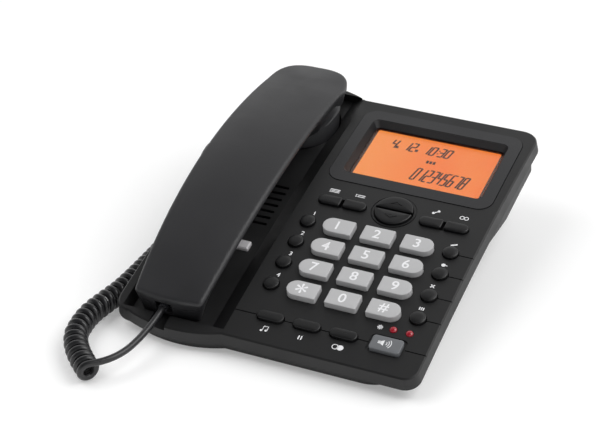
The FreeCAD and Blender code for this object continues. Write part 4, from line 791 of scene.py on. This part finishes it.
# %% Numbers
INK_THICK = 0.05
FONT_PER_DIGIT = 1.38
NUMBER_HEIGHT = 6.1
NUMBER_WEIGHT = 0.11
STAR_HEIGHT = 10.5
MEMORY_HEIGHT = 2.7
MEMORY_WEIGHT = 0.05


def lettering(name, text, height, place, body, weight):
    """A number printed flat, with its middle on a place."""
    data = bpy.data.curves.new(name, "FONT")
    data.body = text
    data.size = height * FONT_PER_DIGIT
    data.extrude = INK_THICK / 2
    data.offset = weight
    data.resolution_u = 6
    mesh = bpy.data.meshes.new_from_object(bpy.data.objects.new(name, data))
    shape = bmesh.new()
    shape.from_mesh(mesh)
    bpy.data.meshes.remove(mesh)
    bmesh.ops.remove_doubles(shape, verts=shape.verts, dist=0.002)
    across = [vert.co.x for vert in shape.verts]
    up = [vert.co.y for vert in shape.verts]
    middle = Vector(((min(across) + max(across)) / 2, (min(up) + max(up)) / 2, -INK_THICK / 2))
    bmesh.ops.translate(shape, verts=shape.verts, vec=-middle)
    return placed(name, shape, place, white_ink, body)


SIGNS = {"star": "*", "hash": "#"}
for name, (u, v) in dial_places.items():
    height = STAR_HEIGHT if name == "star" else NUMBER_HEIGHT
    lettering(f"legend_{name}", SIGNS.get(name, name), height, on_deck(u - 0.4, v, DIAL_PROUD + 0.15),
              f"key_{name}_body", NUMBER_WEIGHT)
for row, v in enumerate(SIDE_ROWS, start=1):
    lettering(f"memory_number_{row}", str(row), MEMORY_HEIGHT, on_deck(-39.0, v + 7.2, 0.01), "base",
              MEMORY_WEIGHT)
print("legends:", len(dial_places) + len(SIDE_ROWS))

# %% Signs


def ring(shape, x, y, radius, width, start=0.0, end=360.0):
    """Adds a flat ring, or a part of one between two angles in degrees."""
    known = set(shape.faces)
    corners = [shape.verts.new((radius + shift, 0, 0)) for shift in (-width / 2, width / 2)]
    edge = shape.edges.new(corners)
    turn = Matrix.Rotation(math.radians(start), 3, "Z")
    bmesh.ops.rotate(shape, verts=corners, cent=(0, 0, 0), matrix=turn)
    bmesh.ops.spin(shape, geom=[*corners, edge], cent=(0, 0, 0), axis=(0, 0, 1),
                   angle=math.radians(end - start), steps=24, use_merge=end - start == 360.0)
    flat = [face for face in shape.faces if face not in known]
    raised = bmesh.ops.extrude_face_region(shape, geom=flat)["geom"]
    top = [item for item in raised if isinstance(item, bmesh.types.BMVert)]
    bmesh.ops.translate(shape, verts=top, vec=(0, 0, INK_THICK))
    everything = {vert for face in shape.faces if face not in known for vert in face.verts}
    bmesh.ops.translate(shape, verts=list(everything), vec=(x, y, 0))


def bar(shape, x, y, length, width, turn=0.0):
    """Adds a flat bar that is turned by an angle in degrees."""
    made = block(shape, (-length / 2, -width / 2, 0.0), (length / 2, width / 2, INK_THICK))
    bmesh.ops.rotate(shape, verts=made, cent=(0, 0, 0), matrix=Matrix.Rotation(math.radians(turn), 3, "Z"))
    bmesh.ops.translate(shape, verts=made, vec=(x, y, 0))


def dot(shape, x, y, radius, segments=24, turn=0.0):
    """Adds a flat disc, or with 3 segments a triangle."""
    place = Matrix.Translation((x, y, INK_THICK / 2)) @ Matrix.Rotation(math.radians(turn), 4, "Z")
    bmesh.ops.create_cone(shape, cap_ends=True, segments=segments, radius1=radius, radius2=radius,
                          depth=INK_THICK, matrix=place)


SIGN_PLACES = {
    "menu": (-35.6, 52.3, [(bar, 0, 1.0, 5.6, 0.5), (bar, 0, 0, 5.6, 0.5), (bar, 0, -1.0, 5.6, 0.5)]),
    "list": (-20.9, 52.3, [(dot, -2.4, 0.6, 0.4), (bar, 0.5, 0.6, 4.2, 0.5), (dot, -2.4, -0.6, 0.4),
                           (bar, 0.5, -0.6, 4.2, 0.5)]),
    "call": (21.6, 52.6, [(bar, 0, 0, 2.6, 0.7, 38), (dot, -1.2, -0.9, 0.8), (dot, 1.2, 1.0, 0.8)]),
    "redial": (36.9, 52.6, [(ring, -1.0, 0, 1.1, 0.45), (ring, 1.3, 0, 1.1, 0.45)]),
    "edit": (38.9, 31.6, [(bar, 0, 0, 3.6, 0.9, 25)]),
    "mute": (38.6, 16.0, [(dot, 0, 0, 1.1), (bar, 1.4, 0, 1.4, 0.5)]),
    "erase": (38.4, 0.2, [(bar, 0, 0, 2.8, 0.6, 45), (bar, 0, 0, 2.8, 0.6, -45)]),
    "pages": (38.4, -16.0, [(bar, -0.9, 0, 2.0, 0.55, 90), (bar, 0.1, 0, 2.0, 0.55, 90),
                            (bar, 1.1, 0, 2.0, 0.55, 90)]),
    "ringing": (23.3, -33.6, [(bar, 0, 0, 3.0, 0.5), (bar, 0, 0, 3.0, 0.5, 45), (bar, 0, 0, 3.0, 0.5, 90),
                              (bar, 0, 0, 3.0, 0.5, 135), (dot, 0, 0, 1.0)]),
    "tune": (-31.2, -52.1, [(dot, -1.1, -1.2, 0.65), (dot, 1.3, -0.8, 0.65), (bar, -0.6, 0.3, 3.0, 0.35, 90),
                            (bar, 1.8, 0.7, 3.0, 0.35, 90), (bar, 0.6, 2.0, 2.7, 0.6, 10)]),
    "hold": (-11.9, -51.9, [(bar, -0.7, 0, 2.6, 0.65, 90), (bar, 0.7, 0, 2.6, 0.65, 90)]),
    "join": (8.1, -52.1, [(ring, -1.3, 0, 1.5, 0.45), (dot, 1.3, 0, 1.7)]),
}


def printed(name, parts, place, body):
    """A sign made of bars, discs and rings, printed flat."""
    shape = bmesh.new()
    for part, *sizes in parts:
        part(shape, *sizes)
    bmesh.ops.recalc_face_normals(shape, faces=shape.faces)
    return placed(name, shape, place, white_ink, body)


for name, (u, v, parts) in SIGN_PLACES.items():
    printed(f"sign_{name}", parts, on_deck(u, v, 0.02), "base")
waves = [(ring, -0.6, 0, radius, 0.4, -42, 42) for radius in (1.5, 2.6, 3.7)]
printed("sign_speaker", [(bar, -2.9, 0, 1.6, 1.7), (dot, -1.7, 0, 2.1, 3, 90), *waves],
        on_deck(30.0, FRONT_ROW, BUTTON_PROUD + 0.13), "speaker_key_body")
print("signs:", len(SIGN_PLACES) + 1)

# %% [markdown]
# ## The display
# An orange lamp lights the display from behind, so the whole face glows, a little paler towards the
# left. The figures are liquid crystal segments: up to seven slanted bars each. They are thin dark
# plates on the glowing face, under a clear acrylic window with a coating that dulls reflections. A
# dark amber strip frames the face: it is painted shade, where the deep recess darkens the edge of
# the lit area. A thin black liner covers the walls round the window, painted shade for the recess.

# %% Display face
lcd_glow, output = new_material("orange_backlit_lcd")
spot = add_node(lcd_glow, "ShaderNodeTexCoord").outputs["Object"]
axes = add_node(lcd_glow, "ShaderNodeSeparateXYZ", {"Vector": spot})
slope = add_node(lcd_glow, "ShaderNodeMapRange",
                 {"Value": axes.outputs["X"], "From Min": -0.008, "From Max": 0.068, "To Max": 2.0})
cloud = add_node(lcd_glow, "ShaderNodeTexNoise", {"Vector": spot, "Scale": per_metre(40.0), "Detail": 1.0})
uneven = add_node(lcd_glow, "ShaderNodeMath", {0: slope.outputs[0], 1: cloud.outputs["Fac"]},
                  operation="MULTIPLY")
face_colour = add_node(lcd_glow, "ShaderNodeMix",
                       {0: uneven.outputs[0], 6: linear("#f8923c"), 7: linear("#f66e10")}, data_type="RGBA")
glow = add_node(lcd_glow, "ShaderNodeBsdfPrincipled",
                {"Base Color": linear("#180a05"), "Roughness": 0.45, "Emission Color": face_colour.outputs[2],
                 "Emission Strength": 0.92})
lcd_glow.node_tree.links.new(glow.outputs[0], output.inputs["Surface"])

DISPLAY_PLACE = on_arch(1.0, 94.0)
MODULE_TOP = -5.605
FACE_TOP = MODULE_TOP + 0.25
FACE_THICK = 0.02
BORDER_SIZE = (76.8, 47.2)
FACE_SIZE = (71.8, 43.4)
shape = bmesh.new()
plate(shape, BORDER_SIZE, [2.0, 2.0], MODULE_TOP, FACE_TOP - FACE_THICK)
# the dark amber border round the lit face is painted shade, where the recess darkens the edge of the lit area
painted_shade_rim = moulded_plastic("amber_painted_shade_rim", "#4a2312", "#35190d", 0.5, 0.8, 0.004)
placed("lcd_painted_shade_border", shape, DISPLAY_PLACE, painted_shade_rim, "base")
shape = bmesh.new()
plate(shape, FACE_SIZE, [1.0, 1.0], FACE_TOP - FACE_THICK, FACE_TOP)
placed("lcd_face", shape, DISPLAY_PLACE, lcd_glow, "base")
print("lit face in mm:", FACE_SIZE)

# %% Figures
segment_dark = moulded_plastic("liquid_crystal_segments", "#2c0e03", "#240b02", 0.7, 0.8, 0.002)
SEGMENTS = {"0": "abcdef", "1": "bc", "2": "abdeg", "3": "abcdg", "4": "bcfg", "5": "acdfg", "6": "acdefg",
            "7": "abc", "8": "abcdefg", "9": "abcdfg"}
BAR_PLACES = {"a": (0.5, 1.0, 0), "b": (1.0, 0.75, 90), "c": (1.0, 0.25, 90), "d": (0.5, 0.0, 0),
              "e": (0.0, 0.25, 90), "f": (0.0, 0.75, 90), "g": (0.5, 0.5, 0)}
SLANT = 0.21
END_GAP = 0.1
ON_FACE = DISPLAY_PLACE @ Matrix.Translation((0, 0, (FACE_TOP + 0.005) / 1000))


def segment_row(name, groups, bottom, size, pitch, line):
    """Slanted seven-segment figures; each group starts at its own place across."""
    width, height = size
    shape = bmesh.new()
    for start, figures in groups:
        for index, figure in enumerate(figures):
            for mark in SEGMENTS[figure]:
                across, up, turn = BAR_PLACES[mark]
                length = (height / 2 if turn else width) - line * END_GAP
                bar(shape, start + index * pitch + across * width, bottom + up * height, length, line, turn)
    for vert in shape.verts:
        vert.co.x += SLANT * (vert.co.y - bottom)
    return placed(name, shape, ON_FACE, segment_dark, "base")


CLOCK_GROUPS = [(-25.0, "4"), (-17.6, "12"), (-6.1, "10"), (2.6, "30")]
segment_row("lcd_clock", CLOCK_GROUPS, 8.9, (2.5, 7.2), 3.75, 0.95)
segment_row("lcd_number", [(-4.9, "012345678")], -14.2, (2.2, 10.2), 3.42, 0.98)
SMALL_MARKS = [(2.3, 11.2, 0.8, 0.8), (2.8, 13.8, 0.8, 0.8), (-20.9, 10.0, 1.7, 1.8), (-9.6, 10.2, 1.7, 2.0),
               (-0.3, 2.6, 1.4, 2.4), (1.6, 2.6, 1.4, 2.4), (3.5, 2.6, 1.4, 2.4)]
shape = bmesh.new()
for mark in SMALL_MARKS:
    bar(shape, *mark)
placed("lcd_small_marks", shape, ON_FACE, segment_dark, "base")
print("small marks:", len(SMALL_MARKS))

# %% Window
window_acrylic, output = new_material("clear_acrylic_window")
spot = add_node(window_acrylic, "ShaderNodeTexCoord").outputs["Object"]
wipes = add_node(window_acrylic, "ShaderNodeTexNoise",
                 {"Vector": spot, "Scale": per_metre(9.0), "Detail": 3.0})
haze = add_node(window_acrylic, "ShaderNodeMapRange",
                {"Value": wipes.outputs["Fac"], "To Min": 0.02, "To Max": 0.06})
clear = add_node(window_acrylic, "ShaderNodeBsdfPrincipled",
                 {"Base Color": linear("#fdfaf8"), "Transmission Weight": 1.0, "IOR": 1.3,
                  "Roughness": haze.outputs[0]})
window_acrylic.node_tree.links.new(clear.outputs[0], output.inputs["Surface"])
finish_solid("display_window", window_acrylic)

WINDOW_SIZE = (75.0, 45.5)
WINDOW_DEPTH = 4.0
# the black liner on the walls round the window is painted shade, which darkens the recess
LINER_FLARE = 3.7
LINER_FIT = (0.9985, 0.9975, 1.0)
LINER_THICK = 0.08
shape = bmesh.new()
plate(shape, WINDOW_SIZE, [2.45, 2.45], -WINDOW_DEPTH, -0.3)
shape.normal_update()
ends = [face for face in shape.faces if abs(face.normal.z) > 0.9]
bmesh.ops.delete(shape, geom=ends, context="FACES_ONLY")
upper = [vert for vert in shape.verts if vert.co.z > -1.0]
bmesh.ops.scale(shape, verts=upper, vec=[(side + LINER_FLARE) / side for side in WINDOW_SIZE] + [1.0])
bmesh.ops.scale(shape, verts=shape.verts, vec=LINER_FIT)
bmesh.ops.recalc_face_normals(shape, faces=shape.faces)
bmesh.ops.solidify(shape, geom=shape.faces, thickness=LINER_THICK)
painted_shade_liner = placed("window_painted_shade_liner", shape, DISPLAY_PLACE, socket_black, "base")
print(painted_shade_liner.name, len(painted_shade_liner.data.polygons), "faces")

# %% [markdown]
# ## Lamps, plunger and what is inside
# The two lamps are cast in clear red epoxy, which makes glossy domes with a deep colour. They are
# off, and a faint red emission on them is painted glow. The hook plunger is the light grey button in
# the trough that the handset holds down. The parts inside are seen only when the telephone is opened,
# but each one still gets the finish of the real thing: silicone for the membrane, painted steel for
# the sound parts and glossy smoked plastic for the plugs.

# %% Lamps
led_red, output = new_material("clear_red_epoxy_painted_glow")
reds = speckled(led_red, 1.4, 1.0, "#5c0812", "#b01c30")
# the lamps are off: their faint red emission is painted glow
lens = add_node(led_red, "ShaderNodeBsdfPrincipled",
                {"Base Color": reds, "Roughness": 0.12, "Coat Weight": 0.6, "Coat Roughness": 0.05,
                 "IOR": 1.54, "Emission Color": linear("#a01022"), "Emission Strength": 0.15})
led_red.node_tree.links.new(lens.outputs[0], output.inputs["Surface"])
LAMP_RADIUS = 1.9
LAMP_FLOOR = -3.4
LAMP_FIRST = 30.1
LAMP_STEP = 8.5
LAMP_ROW = -33.3
DOME_FLATNESS = 0.6
COLLAR_HALF = 2.4
LEGS_HALF = (1.1, 0.4)
LEGS_END = -6.6
lamp_pair = bmesh.new()
for index in range(2):
    shape = bmesh.new()
    disc(shape, LAMP_RADIUS, LAMP_FLOOR, 0.0, 32)
    dome = bmesh.ops.create_uvsphere(shape, u_segments=32, v_segments=16, radius=LAMP_RADIUS)["verts"]
    bmesh.ops.delete(shape, geom=[vert for vert in dome if vert.co.z < -0.01], context="VERTS")
    bmesh.ops.scale(shape, verts=[vert for vert in dome if vert.is_valid], vec=(1, 1, DOME_FLATNESS))
    shape.normal_update()
    lid = [face for face in shape.faces if len(face.verts) > 8 and face.normal.z > 0.9]
    bmesh.ops.delete(shape, geom=lid, context="FACES_ONLY")
    bmesh.ops.remove_doubles(shape, verts=shape.verts, dist=0.02)
    block(shape, (-COLLAR_HALF, -COLLAR_HALF, LAMP_FLOOR), (COLLAR_HALF, COLLAR_HALF, -FLANGE_TOP))
    block(shape, (-LEGS_HALF[0], -LEGS_HALF[1], LEGS_END), (*LEGS_HALF, LAMP_FLOOR))
    lamp_place = on_deck(LAMP_FIRST + LAMP_STEP * index, LAMP_ROW)
    bmesh.ops.transform(shape, matrix=lamp_place @ TO_METRES, verts=shape.verts)
    mesh = bpy.data.meshes.new("lamp")
    shape.to_mesh(mesh)
    shape.free()
    lamp_pair.from_mesh(mesh)
    bpy.data.meshes.remove(mesh)
lamps = placed("indicator_lamps", lamp_pair, TO_METRES.inverted(), led_red, "base")
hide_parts("indicator_leds")
print(lamps.name, len(lamps.data.polygons), "faces")

# %% Inner pieces
finish_solid("hook_plunger", moulded_plastic("light_grey_plunger", "#cbc9cb", "#c2c0c2", 0.38, 0.4, 0.006))
finish_solid("keypad_membrane", moulded_plastic("grey_silicone_rubber", "#8d8d90", "#838386", 0.7, 0.9, 0.01))
for name in ("loudspeaker", "earpiece_capsule", "microphone_capsule"):
    finish_solid(name, moulded_plastic(f"painted_steel_{name}", "#2a2a2c", "#1f1f21", 0.4, 0.3, 0.01))
for name in ("handset_plug", "base_plug"):
    smoked = moulded_plastic(f"smoked_polycarbonate_{name}", "#2b2b2e", "#1f1f22", 0.18, 0.9, 0.002, 0.04)
    finish_solid(name, smoked)
finish_solid("display_module", moulded_plastic("black_module_frame", "#232325", "#1c1c1e", 0.5, 0.5, 0.01))
print("materials so far:", len(bpy.data.materials))

# %% [markdown]
# ## The board
# The circuit board is glass fibre under a green lacquer, and its copper tracks show through as paler
# lines. A brick pattern stands in for them, because the board is seen only when it is taken out.

# %% Board
board_lacquer, output = new_material("green_board_lacquer")
spot = add_node(board_lacquer, "ShaderNodeTexCoord").outputs["Object"]
tracks = add_node(board_lacquer, "ShaderNodeTexBrick",
                  {"Vector": spot, "Scale": per_metre(2.2) / 2, "Mortar Size": 0.06, "Brick Width": 1.7,
                   "Color1": linear("#14532c"), "Color2": linear("#17592f"), "Mortar": linear("#2f7d45")})
sheen = add_node(board_lacquer, "ShaderNodeTexNoise",
                 {"Vector": spot, "Scale": per_metre(6.0), "Detail": 2.0})
gloss = add_node(board_lacquer, "ShaderNodeMapRange",
                 {"Value": sheen.outputs["Fac"], "To Min": 0.2, "To Max": 0.4})
lacquer = add_node(board_lacquer, "ShaderNodeBsdfPrincipled",
                   {"Base Color": tracks.outputs["Color"], "Roughness": gloss.outputs[0], "Coat Weight": 0.4,
                    "Coat Roughness": 0.15})
board_lacquer.node_tree.links.new(lacquer.outputs[0], output.inputs["Surface"])
finish_solid("main_board", board_lacquer)
print("board material:", board_lacquer.name)

# %% [markdown]
# ## The screws
# Small screws are steel with a thin coat of zinc. It is bright, and dull in spots where it has aged,
# so one noise sets both the tint and the roughness.

# %% Screws
zinc_steel, output = new_material("zinc_plated_steel")
spot = add_node(zinc_steel, "ShaderNodeTexCoord").outputs["Object"]
stain = add_node(zinc_steel, "ShaderNodeTexNoise", {"Vector": spot, "Scale": per_metre(1.2), "Detail": 3.0})
bright = add_node(zinc_steel, "ShaderNodeMix",
                  {0: stain.outputs["Fac"], 6: linear("#9a9da3"), 7: linear("#c3c6cb")}, data_type="RGBA")
dull = add_node(zinc_steel, "ShaderNodeMapRange",
                {"Value": stain.outputs["Fac"], "To Min": 0.25, "To Max": 0.45})
steel = add_node(zinc_steel, "ShaderNodeBsdfPrincipled",
                 {"Base Color": bright.outputs[2], "Metallic": 1.0, "Roughness": dull.outputs[0]})
zinc_steel.node_tree.links.new(steel.outputs[0], output.inputs["Surface"])
for name in ("housing_screws", "handset_screws"):
    finish_solid(name, zinc_steel)
print("screw material:", zinc_steel.name)

# %% [markdown]
# ## Contacts in the line socket
# Four sprung gold-plated wires lie side by side in a telephone's line socket and slope towards its
# mouth. Gold doesn't tarnish, so they keep a bright gloss. Each one is a thin bar here.

# %% Contacts
contact_gold, output = new_material("gold_plated_spring_wire")
golds = speckled(contact_gold, 0.7, 2.0, "#c89a3a", "#e6bf62")
gold = add_node(contact_gold, "ShaderNodeBsdfPrincipled",
                {"Base Color": golds, "Metallic": 1.0, "Roughness": 0.22})
contact_gold.node_tree.links.new(gold.outputs[0], output.inputs["Surface"])
SOCKET_MIDDLE = Vector((49.5, 91.99, 37.98))
SOCKET_V = 131.5
WIRE_COUNT = 4
WIRE_PITCH = 1.27
WIRE_HALF = 0.2
WIRE_START = 1.5
WIRE_END = 13.3
WIRE_HEIGHT = 3.2
WIRE_SLOPE = Matrix.Rotation(math.radians(12), 3, "X")
socket_tilt = Matrix.Rotation(math.radians(TILT_DEGREES) - SOCKET_V / ARCH_RADIUS, 4, "X")
socket_place = Matrix.Translation(SOCKET_MIDDLE / 1000) @ socket_tilt @ Matrix.Rotation(math.pi, 4, "Z")
shape = bmesh.new()
for index in range(WIRE_COUNT):
    wire = block(shape, (-WIRE_HALF, WIRE_START, -WIRE_HALF), (WIRE_HALF, WIRE_END, WIRE_HALF))
    bmesh.ops.rotate(shape, verts=wire, cent=(0, WIRE_END, 0), matrix=WIRE_SLOPE)
    bmesh.ops.translate(shape, verts=wire, vec=(WIRE_PITCH * (index - 1.5), 0, WIRE_HEIGHT))
placed("line_contacts", shape, socket_place, contact_gold, "base")
print("contacts:", WIRE_COUNT)
